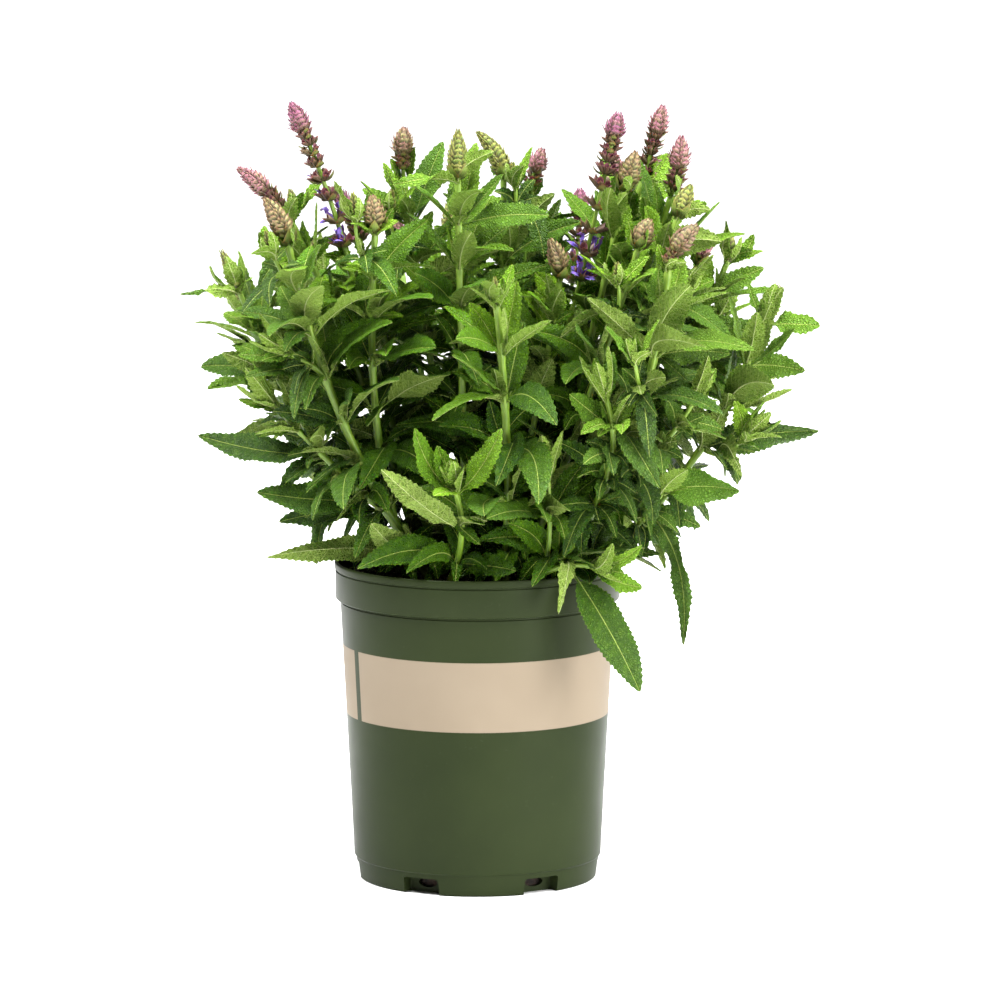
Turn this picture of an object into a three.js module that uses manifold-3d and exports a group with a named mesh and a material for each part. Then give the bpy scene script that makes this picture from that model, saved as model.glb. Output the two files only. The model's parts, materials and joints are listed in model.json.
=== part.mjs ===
// A perennial salvia in its nursery pot: square leafy stems with toothed leaves in crossed
// pairs, flower spikes from tight bud to open bloom, the potting mix and the pot.
// Millimetres, +Z up, with the origin at the middle of the pot's underside.

import * as THREE from 'three';
import { mergeVertices } from 'three/addons/utils/BufferGeometryUtils.js';
import Module from 'manifold-3d';

const wasm = await Module();
wasm.setup();

// ---------- driving dimensions ----------

const POT_HEIGHT = 184.4;
const RIM_RADIUS = 82.4;
const COLLAR_RADIUS = 82;
const COLLAR_BOTTOM = 163.4;
const WALL_TOP_RADIUS = 79.2;
const WALL_FOOT_RADIUS = 71.3;
const STEP_HEIGHT = 13.4;
const BASE_RADIUS = 68.9;
const WALL = 1.5;
const FLOOR_TOP = 2.2;
const LEDGE_TOP = 11.8;
const LEDGE_RADIUS = 58;
const POT_SIDES = 32;
const NOTCHES = 6;
const NOTCH_TURN = -27.8;
const NOTCH_WIDTH = 22.5;
const NOTCH_HEIGHT = 9.6;
const NOTCH_BACK = 60.6;
const DRAIN_HALF_WIDTH = 6;
const DRAIN_HALF_HEIGHT = 2.7;
const DRAIN_HEIGHT = 5.6;
const FOOT_CHAMFER = [1.4, 1.2];
const STEP_IN = [1, 0.6];
const COLLAR_CHAMFER = 2.4;
const BEAD_HEIGHT = 4.3;
const BEAD_EASE = 0.5;

const SOIL_TOP = 175;
const SOIL_RELIEF = 1.3;
const SOIL_SIDES = 16;
const SOIL_CROWN_RADIUS = 72;
const ROOT_DEPTH = 6.5;
const FIT = 0.35;

const NODE_HEIGHT = 3.4;
const FIRST_NODE = 15;
const HEAD_GAP = 3;
const SPIKE_SEAT = 0.3;
const SEED = 20861;

const CLEARANCE = 2.9;
const SAMPLE = 1.9;
const BARE_STALK = 9;

// Widest reach of the crown at each height, from the crown's own middle.
const CROWN_X = 12;
const CROWN = [[185, 106], [212, 124], [235, 142], [258, 170], [340, 176], [366, 152], [400, 122], [440, 100]];

// ---------- finishes ----------

const FINISH = {
  pot: { color: 0x46563a, roughness: 0.42, metalness: 0 },
  soil: { color: 0x2a1e17, roughness: 0.95, metalness: 0 },
  foliage: { color: 0x4c8530, roughness: 0.6, metalness: 0 },
  green: { color: 0x9aa765, roughness: 0.65, metalness: 0 },
  blush: { color: 0xb09372, roughness: 0.65, metalness: 0 },
  pink: { color: 0xb4799c, roughness: 0.65, metalness: 0 },
  violet: { color: 0x6f4c93, roughness: 0.6, metalness: 0 },
};

// ---------- the stems ----------
// foot: where the stem leaves the soil; via: its middle; top: where its head starts.
// head: how the shoot ends. A spike has a tip, a finish, its half-width and the share of its
// length that is a closed cone; a bud is two or three young leaves round a green point.

const spike = (tip, finish, half, cone = 1) => ({ kind: 'spike', tip, finish, half, cone });
const knob = (tip, half = 3.4) => ({ kind: 'knob', tip, half });
const bud = (tip) => ({ kind: 'bud', tip });

const STEMS = [
  { name: 'left_bloom', foot: [-20, 5], via: [-50, 10, 266], top: [-74, 12, 355], radius: 2.3,
    head: spike([-107, 12, 448], 'violet', 6.6, 0.29) },
  { name: 'left_pink', foot: [-31, 8], via: [-64, 10, 280], top: [-106, 12, 377], radius: 2.2,
    head: spike([-138, 12, 410], 'pink', 6, 0.72),
    side: [{ at: 340, top: [-106, 23, 382], via: [-103, 22, 364], radius: 1.2, head: knob([-108, 24, 397], 4) }] },
  { name: 'left_front', foot: [-26, -27], via: [-75, -38, 266], top: [-107, -38, 370], radius: 2.5,
    head: spike([-121, -38, 398], 'blush', 6.4),
    side: [
      { at: 206, top: [-114, -28, 276], via: [-78, -37, 240], radius: 1.7, head: bud([-140, -30, 309]) },
      { at: 288, top: [-105, -46, 309], via: [-93, -44, 302], radius: 1.4, head: bud([-118, -48, 329]) },
      { at: 334, top: [-115, -42, 364], via: [-108, -42, 350], radius: 1.2, head: knob([-120, -43, 380], 3.6) },
    ] },
  { name: 'left_outer', foot: [-40, -8], via: [-98, -11, 262], top: [-136, -10, 341], radius: 2,
    head: knob([-147, -10, 366], 4.6) },
  { name: 'left_twin', foot: [-36, -12], via: [-57, -24, 262], top: [-58, -30, 376], radius: 2.3,
    head: spike([-60, -30, 399], 'blush', 6.2),
    side: [{ at: 352, top: [-69, -33, 384], via: [-67, -33, 368], radius: 1.2, head: knob([-71, -34, 401], 4) }] },
  { name: 'left_violet', foot: [-13, 18], via: [-42, 33, 270], top: [-66, 45, 357], radius: 2.1,
    head: spike([-83, 45, 396], 'violet', 6.6, 0.8) },
  { name: 'centre_pink', foot: [-9, 5], via: [-25, 14, 284], top: [-42, 20, 401], radius: 2.2,
    head: spike([-42, 20, 433], 'blush', 6.4, 0.7),
    side: [{ at: 352, top: [-50, 12, 384], via: [-46, 12, 366], radius: 1.2, head: knob([-49, 11, 398], 3.8) }] },
  { name: 'centre_green', foot: [-6, -13], via: [-9, -19, 298], top: [-11, -15, 405], radius: 2.4,
    head: spike([-11, -15, 435], 'green', 6.4) },
  { name: 'centre_front', foot: [16, -40], via: [17, -58, 256], top: [11, -70, 340], radius: 2.4,
    head: knob([10, -71, 357], 3.8) },
  { name: 'centre_leaning', foot: [4, 17], via: [13, 26, 296], top: [15, 35, 401], radius: 2.1,
    head: spike([-1, 35, 429], 'green', 5.8),
    side: [{ at: 366, top: [22, 31, 396], via: [21, 31, 382], radius: 1.2, head: knob([20, 30, 412], 3.6) }] },
  { name: 'centre_back_pink', foot: [14, 27], via: [24, 43, 284], top: [31, 55, 389], radius: 2.1,
    head: spike([38, 55, 417], 'pink', 6.2, 0.75) },
  { name: 'right_small_bud', foot: [10, -21], via: [31, -24, 260], top: [47, -22, 349], radius: 2,
    head: spike([41, -22, 373], 'blush', 5.8) },
  { name: 'right_bloom', foot: [17, 4], via: [37, 7, 258], top: [55, 6, 330], radius: 2.3,
    head: spike([81, 5, 443], 'violet', 6.8, 0.2) },
  { name: 'right_back_magenta', foot: [26, 33], via: [55, 53, 286], top: [83, 70, 391], radius: 2,
    head: spike([78, 70, 411], 'pink', 5.4) },
  { name: 'right_green', foot: [28, -2], via: [58, -4, 285], top: [84, 0, 396], radius: 2.2,
    head: spike([91, 0, 421], 'blush', 6.4) },
  { name: 'right_pink', foot: [29, 14], via: [60, 27, 290], top: [95, 34, 399], radius: 2.2,
    head: spike([107, 35, 444], 'pink', 6.2, 0.55) },
  { name: 'right_outer_pink', foot: [42, 6], via: [77, 9, 288], top: [111, 10, 393], radius: 2.2,
    head: spike([117, 10, 429], 'pink', 6.6, 0.8) },
  { name: 'right_low_green', foot: [40, -14], via: [76, -24, 282], top: [114, -21, 384], radius: 2.1,
    head: spike([122, -21, 404], 'green', 6.2),
    side: [{ at: 322, top: [117, -36, 344], via: [107, -35, 336], radius: 1.3, head: knob([124, -38, 359], 4) }] },
  { name: 'right_tan', foot: [24, -29], via: [60, -41, 274], top: [91, -46, 369], radius: 2.1,
    head: spike([98, -46, 387], 'blush', 6.2),
    side: [{ at: 322, top: [80, -58, 350], via: [80, -56, 336], radius: 1.2, head: knob([79, -59, 364], 3.6) }] },
  { name: 'right_front', foot: [38, -34], via: [86, -60, 264], top: [108, -62, 359], radius: 2.6,
    head: spike([125, -62, 385], 'pink', 6.4, 0.85),
    side: [
      { at: 216, top: [73, -80, 288], via: [76, -72, 252], radius: 1.8, head: bud([69, -81, 326]) },
      { at: 240, top: [122, -64, 284], via: [103, -62, 258], radius: 1.6, head: bud([132, -67, 304]) },
      { at: 280, top: [89, -84, 309], via: [92, -77, 294], radius: 1.4, head: bud([88, -88, 327]) },
    ] },
  { name: 'right_blush', foot: [51, -6], via: [89, 2, 264], top: [127, 6, 353], radius: 2,
    head: spike([129, 6, 372], 'pink', 5.6) },
  { name: 'right_back_green', foot: [50, 14], via: [100, 20, 264], top: [144, 24, 354], radius: 2,
    head: knob([143, 24, 374], 5.2) },
  { name: 'right_outer', foot: [52, -22], via: [118, -28, 239], top: [164, -15, 324], radius: 2.4,
    head: knob([173, -15, 346], 4.8),
    side: [
      { at: 205, top: [105, -60, 232], via: [95, -50, 216], radius: 1.6, head: bud([112, -68, 250]) },
      { at: 250, top: [150, -29, 257], via: [139, -28, 250], radius: 1.4, head: bud([173, -30, 270]) },
    ] },
  { name: 'front_young', foot: [-17, -50], via: [-9, -66, 206], top: [-12, -84, 236], radius: 1.9,
    head: bud([-14, -90, 272]) },
  { name: 'front_small', foot: [36, -54], via: [41, -62, 208], top: [40, -66, 241], radius: 1.5,
    head: bud([40, -67, 271]) },
  { name: 'front_runner', foot: [27, -57], via: [46, -67, 190], top: [66, -77, 192], radius: 1.7,
    first: 30, head: bud([78, -90, 199]) },
  { name: 'back_left', foot: [-29, 30], via: [-62, 66, 262], top: [-92, 95, 336], radius: 2.1,
    head: knob([-97, 100, 360], 5) },
  { name: 'back_left_pink', foot: [-15, 36], via: [-31, 80, 270], top: [-45, 115, 338], radius: 2.2,
    head: spike([-49, 121, 372], 'pink', 6.2, 0.7) },
  { name: 'back_middle', foot: [0, 42], via: [-1, 91, 262], top: [-2, 130, 334], radius: 2.2,
    head: spike([-3, 138, 360], 'blush', 6.2) },
  { name: 'back_right_bloom', foot: [17, 44], via: [35, 84, 256], top: [52, 116, 316], radius: 2.2,
    head: spike([60, 132, 386], 'violet', 6.4, 0.3) },
  { name: 'back_right', foot: [33, 30], via: [66, 64, 262], top: [98, 96, 338], radius: 2.1,
    head: knob([104, 101, 362], 5) },
  { name: 'left_low_back', foot: [-45, 12], via: [-95, 34, 250], top: [-132, 54, 318], radius: 2,
    head: knob([-142, 58, 340], 4.6) },
  { name: 'right_low_back', foot: [48, 25], via: [100, 44, 250], top: [140, 60, 318], radius: 2,
    head: knob([150, 64, 340], 4.6) },
  { name: 'back_upper', foot: [-6, 28], via: [-12, 60, 282], top: [-15, 82, 362], radius: 2.1,
    head: spike([-16, 84, 386], 'green', 6) },
  { name: 'back_upper_right', foot: [13, 36], via: [26, 68, 278], top: [36, 88, 360], radius: 2.1,
    head: knob([38, 91, 380], 5) },
];

// Leaves with a place of their own: the stem, or its side shoot, the height of the pair they
// belong to, the leaf's tip, its half-width, and how far its blade is rolled over, in degrees.
const OWN_LEAVES = [
  { on: 'front_runner', at: 191, tip: [92, -99, 124], half: 9, roll: -12 },
  { on: 'front_runner', at: 186, tip: [46, -90, 167], half: 5.5, roll: 8 },
  { on: 'right_outer/1', at: 218, tip: [117, -72, 146], half: 7, roll: 35 },
  { on: 'left_outer', at: 196, tip: [-121, -28, 190], half: 8, roll: 42 },
  { on: 'left_front', at: 196, tip: [-60, -64, 215], half: 9, roll: 0 },
  { on: 'front_young', at: 190, tip: [22, -86, 191], half: 7, roll: 25 },
  { on: 'front_young', at: 206, tip: [-54, -93, 250], half: 8.5, roll: 12 },
  { on: 'front_young', at: 234, tip: [-35, -98, 274], half: 6.4, roll: 10 },
  { on: 'front_young', at: 234, tip: [14, -98, 274], half: 6.8, roll: -16 },
  { on: 'left_twin', at: 268, tip: [-15, -62, 300], half: 8.6, roll: -58 },
  { on: 'left_outer', at: 326, tip: [-170, -16, 340], half: 4.6, roll: 62 },
  { on: 'left_outer', at: 300, tip: [-146, -20, 307], half: 7, roll: 20 },
  { on: 'left_front/1', at: 256, tip: [-160, -18, 259], half: 9.4, roll: 26 },
  { on: 'left_front/1', at: 230, tip: [-126, -30, 228], half: 9.6, roll: 12 },
  { on: 'left_outer', at: 222, tip: [-114, -12, 208], half: 8, roll: 24 },
  { on: 'right_outer', at: 318, tip: [196, -17, 322], half: 7.4, roll: 30 },
  { on: 'right_outer', at: 288, tip: [188, -8, 295], half: 7.4, roll: 55 },
  { on: 'right_outer', at: 250, tip: [195, -34, 264], half: 8.6, roll: 58 },
  { on: 'right_outer/1', at: 230, tip: [149, -66, 234], half: 11, roll: 18 },
  { on: 'right_front', at: 316, tip: [143, -66, 312], half: 9, roll: 16 },
  { on: 'right_front', at: 316, tip: [62, -74, 345], half: 7.6, roll: 14 },
  { on: 'centre_green', at: 366, tip: [41, -33, 387], half: 7.4, roll: -22 },
  { on: 'centre_green', at: 392, tip: [-48, -28, 404], half: 5.6, roll: 18 },
  { on: 'right_small_bud', at: 262, tip: [43, -47, 307], half: 7.4, roll: 12 },
  { on: 'right_front/1', at: 262, tip: [52, -88, 292], half: 7, roll: 10 },
];

// ---------- vectors and seeded draws ----------

const add = (a, b) => [a[0] + b[0], a[1] + b[1], a[2] + b[2]];
const sub = (a, b) => [a[0] - b[0], a[1] - b[1], a[2] - b[2]];
const scale = (a, k) => [a[0] * k, a[1] * k, a[2] * k];
const along = (a, d, k) => [a[0] + d[0] * k, a[1] + d[1] * k, a[2] + d[2] * k];
const dot = (a, b) => a[0] * b[0] + a[1] * b[1] + a[2] * b[2];
const cross = (a, b) => [
  a[1] * b[2] - a[2] * b[1],
  a[2] * b[0] - a[0] * b[2],
  a[0] * b[1] - a[1] * b[0],
];
const length = (a) => Math.sqrt(dot(a, a));
const unit = (a) => scale(a, 1 / length(a));
const mix = (a, b, t) => a + (b - a) * t;
const square = (v, axis) => unit(along(v, axis, -dot(v, axis)));
const radians = (degrees) => (degrees * Math.PI) / 180;

function draw(shoot, item, use) {
  let h = (shoot * 374761393 + item * 668265263 + use * 144665 + SEED) % 4294967296;
  h = Math.imul(h ^ (h >>> 13), 1274126177) >>> 0;
  h = (h ^ (h >>> 16)) >>> 0;
  h = Math.imul(h, 2246822519) >>> 0;
  h = (h ^ (h >>> 15)) >>> 0;
  return h / 4294967296;
}

const between = (low, high, shoot, item, use) => mix(low, high, draw(shoot, item, use));

function step(table, x) {
  let i = 1;
  while (i < table.length - 1 && x > table[i][0]) {
    i += 1;
  }
  const [x0, y0] = table[i - 1];
  const [x1, y1] = table[i];
  const t = Math.min(1, Math.max(0, (x - x0) / (x1 - x0)));
  return mix(y0, y1, t);
}

// ---------- curves ----------

const CURVE_STEPS = 40;

function bend(p0, p1, p2, t) {
  const q = 1 - t;
  return [0, 1, 2].map((i) => q * q * p0[i] + 2 * q * t * p1[i] + t * t * p2[i]);
}

function bendDirection(p0, p1, p2, t) {
  return unit([0, 1, 2].map((i) => (1 - t) * (p1[i] - p0[i]) + t * (p2[i] - p1[i])));
}

// A bent axis with a square frame carried along it, read by distance from its start.
class Axis {
  constructor(p0, p1, p2, sideways) {
    this.ends = [p0, p1, p2];
    this.run = [0];
    this.sides = [square(sideways, bendDirection(p0, p1, p2, 0))];
    for (let i = 1; i <= CURVE_STEPS; i += 1) {
      const t = i / CURVE_STEPS;
      const chord = length(sub(bend(p0, p1, p2, t), bend(p0, p1, p2, (i - 1) / CURVE_STEPS)));
      this.run.push(this.run[i - 1] + chord);
      this.sides.push(square(this.sides[i - 1], bendDirection(p0, p1, p2, t)));
    }
    this.length = this.run[CURVE_STEPS];
  }

  at(distance) {
    let i = 1;
    while (i < CURVE_STEPS && this.run[i] < distance) {
      i += 1;
    }
    const share = (distance - this.run[i - 1]) / (this.run[i] - this.run[i - 1]);
    const t = (i - 1 + share) / CURVE_STEPS;
    const p = bend(...this.ends, t);
    const d = bendDirection(...this.ends, Math.min(t, 1));
    const e1 = square(this.sides[i], d);
    return { p, d, e1, e2: cross(d, e1) };
  }
}

// Corner k and face k of a square stem; face k lies between corners k and k + 1.
const CORNERS = [[-1, -1], [1, -1], [1, 1], [-1, 1]];
const FACES = [[0, -1], [1, 0], [0, 1], [-1, 0]];

const corner = (place, k, half) => add(
  place.p,
  add(scale(place.e1, CORNERS[k][0] * half), scale(place.e2, CORNERS[k][1] * half)),
);
const facing = (place, k) => add(scale(place.e1, FACES[k][0]), scale(place.e2, FACES[k][1]));

// ---------- growth: shoots ----------

const shoots = [];

function makeShoot(spec, name, start, sideways, parent) {
  const middle = spec.via;
  const control = [0, 1, 2].map((i) => 2 * middle[i] - (start[i] + spec.top[i]) / 2);
  const axis = new Axis(start, control, spec.top, sideways);
  const shoot = {
    name, index: shoots.length, parent, axis, head: spec.head, radius: spec.radius, nodes: [], sides: [],
  };
  shoots.push(shoot);
  const isSide = parent !== null;
  const first = spec.first ?? (isSide ? 9 : FIRST_NODE);
  const last = axis.length - HEAD_GAP;
  const pitch = isSide ? 19 : 27;
  const count = Math.max(1, Math.round((last - first) / pitch) + 1);
  for (let i = 0; i < count; i += 1) {
    const share = count === 1 ? 1 : i / (count - 1);
    const s = count === 1 ? last : mix(first, last, share ** 0.92);
    shoot.nodes.push({ index: i, s, share, turn: i % 2, leaves: [null, null] });
  }
  return shoot;
}

const halfAt = (shoot, s) => shoot.radius * mix(1, 0.68, s / shoot.axis.length);

function nearestNode(shoot, height) {
  let best = shoot.nodes[0];
  for (const node of shoot.nodes) {
    const gap = Math.abs(shoot.axis.at(node.s).p[2] - height);
    if (gap < Math.abs(shoot.axis.at(best.s).p[2] - height)) {
      best = node;
    }
  }
  return best;
}

function bestFace(place, choices, target) {
  const toward = unit(sub(target, place.p));
  let best = choices[0];
  for (const face of choices) {
    if (dot(facing(place, face), toward) > dot(facing(place, best), toward)) {
      best = face;
    }
  }
  return best;
}

for (const [number, spec] of STEMS.entries()) {
  const phase = spec.side
    ? Math.atan2(spec.side[0].top[1] - spec.via[1], spec.side[0].top[0] - spec.via[0])
    : radians(between(0, 90, number, 0, 90));
  const start = [spec.foot[0], spec.foot[1], SOIL_TOP + 2];
  const sideways = [Math.cos(phase), Math.sin(phase), 0];
  const stem = makeShoot(spec, spec.name, start, sideways, null);
  stem.phase = phase;
  for (const [order, sideSpec] of (spec.side ?? []).entries()) {
    const node = nearestNode(stem, sideSpec.at);
    const place = stem.axis.at(node.s + NODE_HEIGHT);
    const taken = stem.sides.filter((other) => other.node === node).map((other) => other.face);
    const choices = [node.turn, node.turn + 2].filter((face) => !taken.includes(face));
    const face = bestFace(place, choices, sideSpec.top);
    const out = facing(place, face);
    const origin = along(place.p, out, halfAt(stem, node.s));
    const side = makeShoot(sideSpec, `${spec.name}/${order + 1}`, origin, cross(place.d, out), stem);
    stem.sides.push({ node, face, shoot: side });
  }
}

// ---------- growth: heads ----------

// A head's axis leans from the shoot's own direction to its tip.
for (const shoot of shoots) {
  const top = shoot.axis.at(shoot.axis.length);
  const reach = length(sub(shoot.head.tip, top.p));
  const control = along(top.p, top.d, reach * 0.42);
  shoot.headAxis = new Axis(top.p, control, shoot.head.tip, top.e1);
}

// ---------- growth: room between leaves ----------

const room = new Map();
const ANYONE = -1;
const NEARBY = [-1, 0, 1];

function cellKey(p, i, j, k) {
  const x = Math.floor(p[0] / CLEARANCE) + 100 + i;
  const y = Math.floor(p[1] / CLEARANCE) + 100 + j;
  const z = Math.floor(p[2] / CLEARANCE) + 20 + k;
  return (x * 256 + y) * 256 + z;
}

function claim(p, owner) {
  const key = cellKey(p, 0, 0, 0);
  if (!room.has(key)) {
    room.set(key, []);
  }
  room.get(key).push([p, owner]);
}

function tooNear(p, owner) {
  for (const i of NEARBY) {
    for (const j of NEARBY) {
      for (const k of NEARBY) {
        for (const [q, holder] of room.get(cellKey(p, i, j, k)) ?? []) {
          const gap = sub(p, q);
          if (holder !== owner && dot(gap, gap) < CLEARANCE * CLEARANCE) {
            return true;
          }
        }
      }
    }
  }
  return false;
}

const inPot = (p) => Math.hypot(p[0], p[1]) < RIM_RADIUS + 2.8 && p[2] < POT_HEIGHT + 2.8;
const outsideCrown = (p) => Math.hypot(p[0] - CROWN_X, p[1]) > step(CROWN, p[2]);

// A shoot's own leaves may lie close along it, but nothing may pass through a head.
for (const shoot of shoots) {
  for (let s = 0; s < shoot.axis.length; s += 2) {
    for (let k = 0; k < 4; k += 1) {
      claim(corner(shoot.axis.at(s), k, halfAt(shoot, s) * 0.8), shoot.index);
    }
  }
  const half = shoot.head.half ?? 2;
  const owner = shoot.head.kind === 'spike' ? ANYONE : shoot.index;
  for (let s = 2.5; s <= shoot.headAxis.length; s += 2) {
    const place = shoot.headAxis.at(s);
    for (let k = 0; k < 4; k += 1) {
      claim(along(place.p, facing(place, k), half * 0.85), owner);
      claim(corner(place, k, half * 0.6), owner);
    }
  }
}

// ---------- growth: leaves ----------

// Half-width of the blade as a share of its widest, past the stalk.
const STALK_SHARE = 0.13;
const STALK_HALF = 1.15;

function halfWidth(leaf, t) {
  if (t <= STALK_SHARE) {
    return STALK_HALF;
  }
  const b = (t - STALK_SHARE) / (1 - STALK_SHARE);
  const swell = 2.35 * b ** 0.5 * (1 - b) ** 0.8;
  return Math.max(leaf.half * swell, STALK_HALF * (1 - b));
}

// The midrib's point, direction, width direction and upper-side normal at t along a leaf.
function leafPlace(leaf, t) {
  const p = bend(leaf.base, leaf.control, leaf.tip, t);
  const d = bendDirection(leaf.base, leaf.control, leaf.tip, t);
  const flat = square(leaf.sideways, d);
  const up = cross(d, flat);
  const ease = Math.min(1, t / 0.45);
  const roll = radians(leaf.roll) * ease * ease * (3 - 2 * ease) + radians(leaf.twist) * t;
  const w = add(scale(flat, Math.cos(roll)), scale(up, Math.sin(roll)));
  return { p, d, w, n: cross(d, w) };
}

// A point of the blade: across runs from -1 at the left margin to 1 at the right one.
function bladePoint(leaf, t, across) {
  const place = leafPlace(leaf, t);
  const half = halfWidth(leaf, t);
  const side = across * half;
  const wave = leaf.wave * Math.sin(leaf.waveTurn + 13 * t + across) * across * across;
  const lift = leaf.fold * Math.abs(side) + wave * (half / leaf.half);
  return add(place.p, add(scale(place.w, side), scale(place.n, lift)));
}

function bladeSamples(leaf, from) {
  const samples = [];
  for (let t = from / leaf.size; t <= 1; t += SAMPLE / leaf.size) {
    const rows = Math.max(1, Math.ceil(halfWidth(leaf, t) / SAMPLE));
    for (let j = -rows; j <= rows; j += 1) {
      samples.push(bladePoint(leaf, t, j / rows));
    }
  }
  return samples;
}

function leafFits(leaf) {
  for (const p of bladeSamples(leaf, BARE_STALK)) {
    if (inPot(p) || outsideCrown(p) || tooNear(p, leaf.owner)) {
      return false;
    }
  }
  return true;
}

function claimLeaf(leaf) {
  for (const p of bladeSamples(leaf, BARE_STALK / 2)) {
    claim(p, ANYONE);
  }
}

const MAIN_SIZES = [[0, 66], [0.45, 64], [0.75, 52], [0.92, 35], [1, 28]];
const SIDE_SIZES = [[0, 38], [0.6, 34], [1, 29]];
const SPREAD = [[0, 66], [0.5, 54], [0.85, 42], [1, 33]];
const SAG = [[0, 0.95], [0.5, 0.6], [0.8, 0.3], [1, 0.1]];
// A leaf that finds no room is swung sideways, then lifted and shortened, and tried again.
const SWINGS = [0, 0.28, -0.28, 0.55, -0.55, 0.8, -0.8];
const LIFTS = [0, 0.3, -0.3, 0.6];
const CUTS = [1, 0.94, 0.84, 0.7];
const TRIES = SWINGS.length * LIFTS.length;

function leafBase(shoot, node, face) {
  const place = shoot.axis.at(node.s + NODE_HEIGHT / 2);
  const out = facing(place, face);
  return { place, out, base: along(place.p, out, halfAt(shoot, node.s)) };
}

function ruleLeaf(shoot, node, side, attempt) {
  const item = node.index * 2 + side;
  const chance = (low, high, use) => between(low, high, shoot.index, item, use);
  const swing = SWINGS[attempt % SWINGS.length];
  const round = Math.floor(attempt / SWINGS.length);
  const lift = LIFTS[round];
  const { place, out, base } = leafBase(shoot, node, node.turn + 2 * side);
  const sizes = shoot.parent ? SIDE_SIZES : MAIN_SIZES;
  const young = shoot.head.kind === 'bud' && node.share === 1;
  const size = step(sizes, node.share) * chance(0.84, 1.14, 1) * CUTS[round] * (young ? 1.12 : 1);
  const spread = radians(step(SPREAD, node.share) + chance(-9, 9, 2) - (young ? 10 : 0));
  const sag = step(SAG, node.share) * chance(0.5, 1.4, 3) - lift;
  const d0 = add(scale(place.d, Math.cos(spread)), scale(out, Math.sin(spread)));
  const sideways = cross(place.d, out);
  let toward = along(d0, sideways, swing + chance(-0.2, 0.2, 4));
  toward = unit(along(toward, [0, 0, -1], sag));
  const tip = along(base, toward, size * 0.95);
  const big = size > 46 ? 1 : 0.4;
  return {
    owner: shoot.index, base, control: along(base, d0, size * 0.42), tip, sideways, size,
    half: size * chance(0.125, 0.155, 5) + 0.6, fold: chance(0.12, 0.4, 6),
    roll: chance(-26, 26, 7), twist: chance(-28, 28, 8) * big,
    wave: chance(0.2, 1.1, 9) * big, waveTurn: chance(0, 6, 10),
  };
}

function ownLeaf(shoot, node, face, spec, item) {
  const { place, out, base } = leafBase(shoot, node, face);
  const chord = length(sub(spec.tip, base));
  const size = chord * 1.05;
  const toward = unit(sub(spec.tip, base));
  const d0 = unit(add(add(scale(out, 0.75), scale(place.d, 0.45)), scale(toward, 0.6)));
  return {
    owner: shoot.index, base, control: along(base, d0, size * 0.42), tip: spec.tip,
    sideways: cross(place.d, out), size, half: spec.half, fold: 0.22, roll: spec.roll, twist: 8,
    wave: 0.8, waveTurn: between(0, 6, shoot.index, item, 30),
  };
}

for (const [item, spec] of OWN_LEAVES.entries()) {
  const shoot = shoots.find((one) => one.name === spec.on);
  const node = nearestNode(shoot, spec.at);
  const free = [0, 1].filter((side) => node.leaves[side] === null);
  const place = shoot.axis.at(node.s);
  const face = bestFace(place, free.map((side) => node.turn + 2 * side), spec.tip);
  const leaf = ownLeaf(shoot, node, face, spec, item);
  node.leaves[face < 2 ? 0 : 1] = leaf;
  claimLeaf(leaf);
}

// Outer and upper leaves are placed first; what finds no room is left off.
const waiting = [];
for (const shoot of shoots) {
  for (const node of shoot.nodes) {
    for (const side of [0, 1]) {
      if (node.leaves[side] === null) {
        const p = leafBase(shoot, node, node.turn + 2 * side).base;
        const inner = Math.hypot(p[0], p[1]) < 46 && p[2] < 300;
        const skip = draw(shoot.index, node.index * 2 + side, 0) < (inner ? 0.2 : 0.03);
        if (!skip || node.share === 1) {
          waiting.push({ shoot, node, side, rank: p[2] + 0.6 * Math.hypot(p[0], p[1]) });
        }
      }
    }
  }
}
waiting.sort((a, b) => b.rank - a.rank);
for (const { shoot, node, side } of waiting) {
  for (let attempt = 0; attempt < TRIES && node.leaves[side] === null; attempt += 1) {
    const leaf = ruleLeaf(shoot, node, side, attempt);
    if (leafFits(leaf)) {
      node.leaves[side] = leaf;
      claimLeaf(leaf);
    }
  }
}

// ---------- skins: closed solids grown ring by ring ----------
// A ring runs anticlockwise as seen from the growing tip.

class Skin {
  constructor() {
    this.points = [];
    this.faces = [];
  }

  point(p) {
    this.points.push(p[0], p[1], p[2]);
    return this.points.length / 3 - 1;
  }

  ring(list) {
    return list.map((p) => this.point(p));
  }

  fan(hub, loop) {
    for (let i = 0; i + 1 < loop.length; i += 1) {
      this.faces.push(hub, loop[i], loop[i + 1]);
    }
  }

  // The loop of an opening on side k between two rings, as seen from outside.
  opening(low, high, k) {
    const next = (k + 1) % low.length;
    return [low[k], low[next], high[next], high[k]];
  }

  wall(low, high, open = []) {
    for (let k = 0; k < low.length; k += 1) {
      if (!open.includes(k)) {
        const loop = this.opening(low, high, k);
        this.fan(loop[0], loop.slice(1));
      }
    }
  }

  // Joins a ring to one turned half a side further.
  twistedWall(low, high) {
    for (let k = 0; k < low.length; k += 1) {
      const next = (k + 1) % low.length;
      this.faces.push(low[k], low[next], high[k]);
      this.faces.push(low[next], high[next], high[k]);
    }
  }

  close(ring, tip) {
    this.fan(tip, [...ring, ring[0]]);
  }

  startCap(ring) {
    const back = [...ring].reverse();
    this.fan(back[0], back.slice(1));
  }

  geometry() {
    const geometry = new THREE.BufferGeometry();
    geometry.setAttribute('position', new THREE.Float32BufferAttribute(this.points, 3));
    geometry.setIndex(this.faces);
    return geometry;
  }
}

// ---------- skins: leaves ----------

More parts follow.
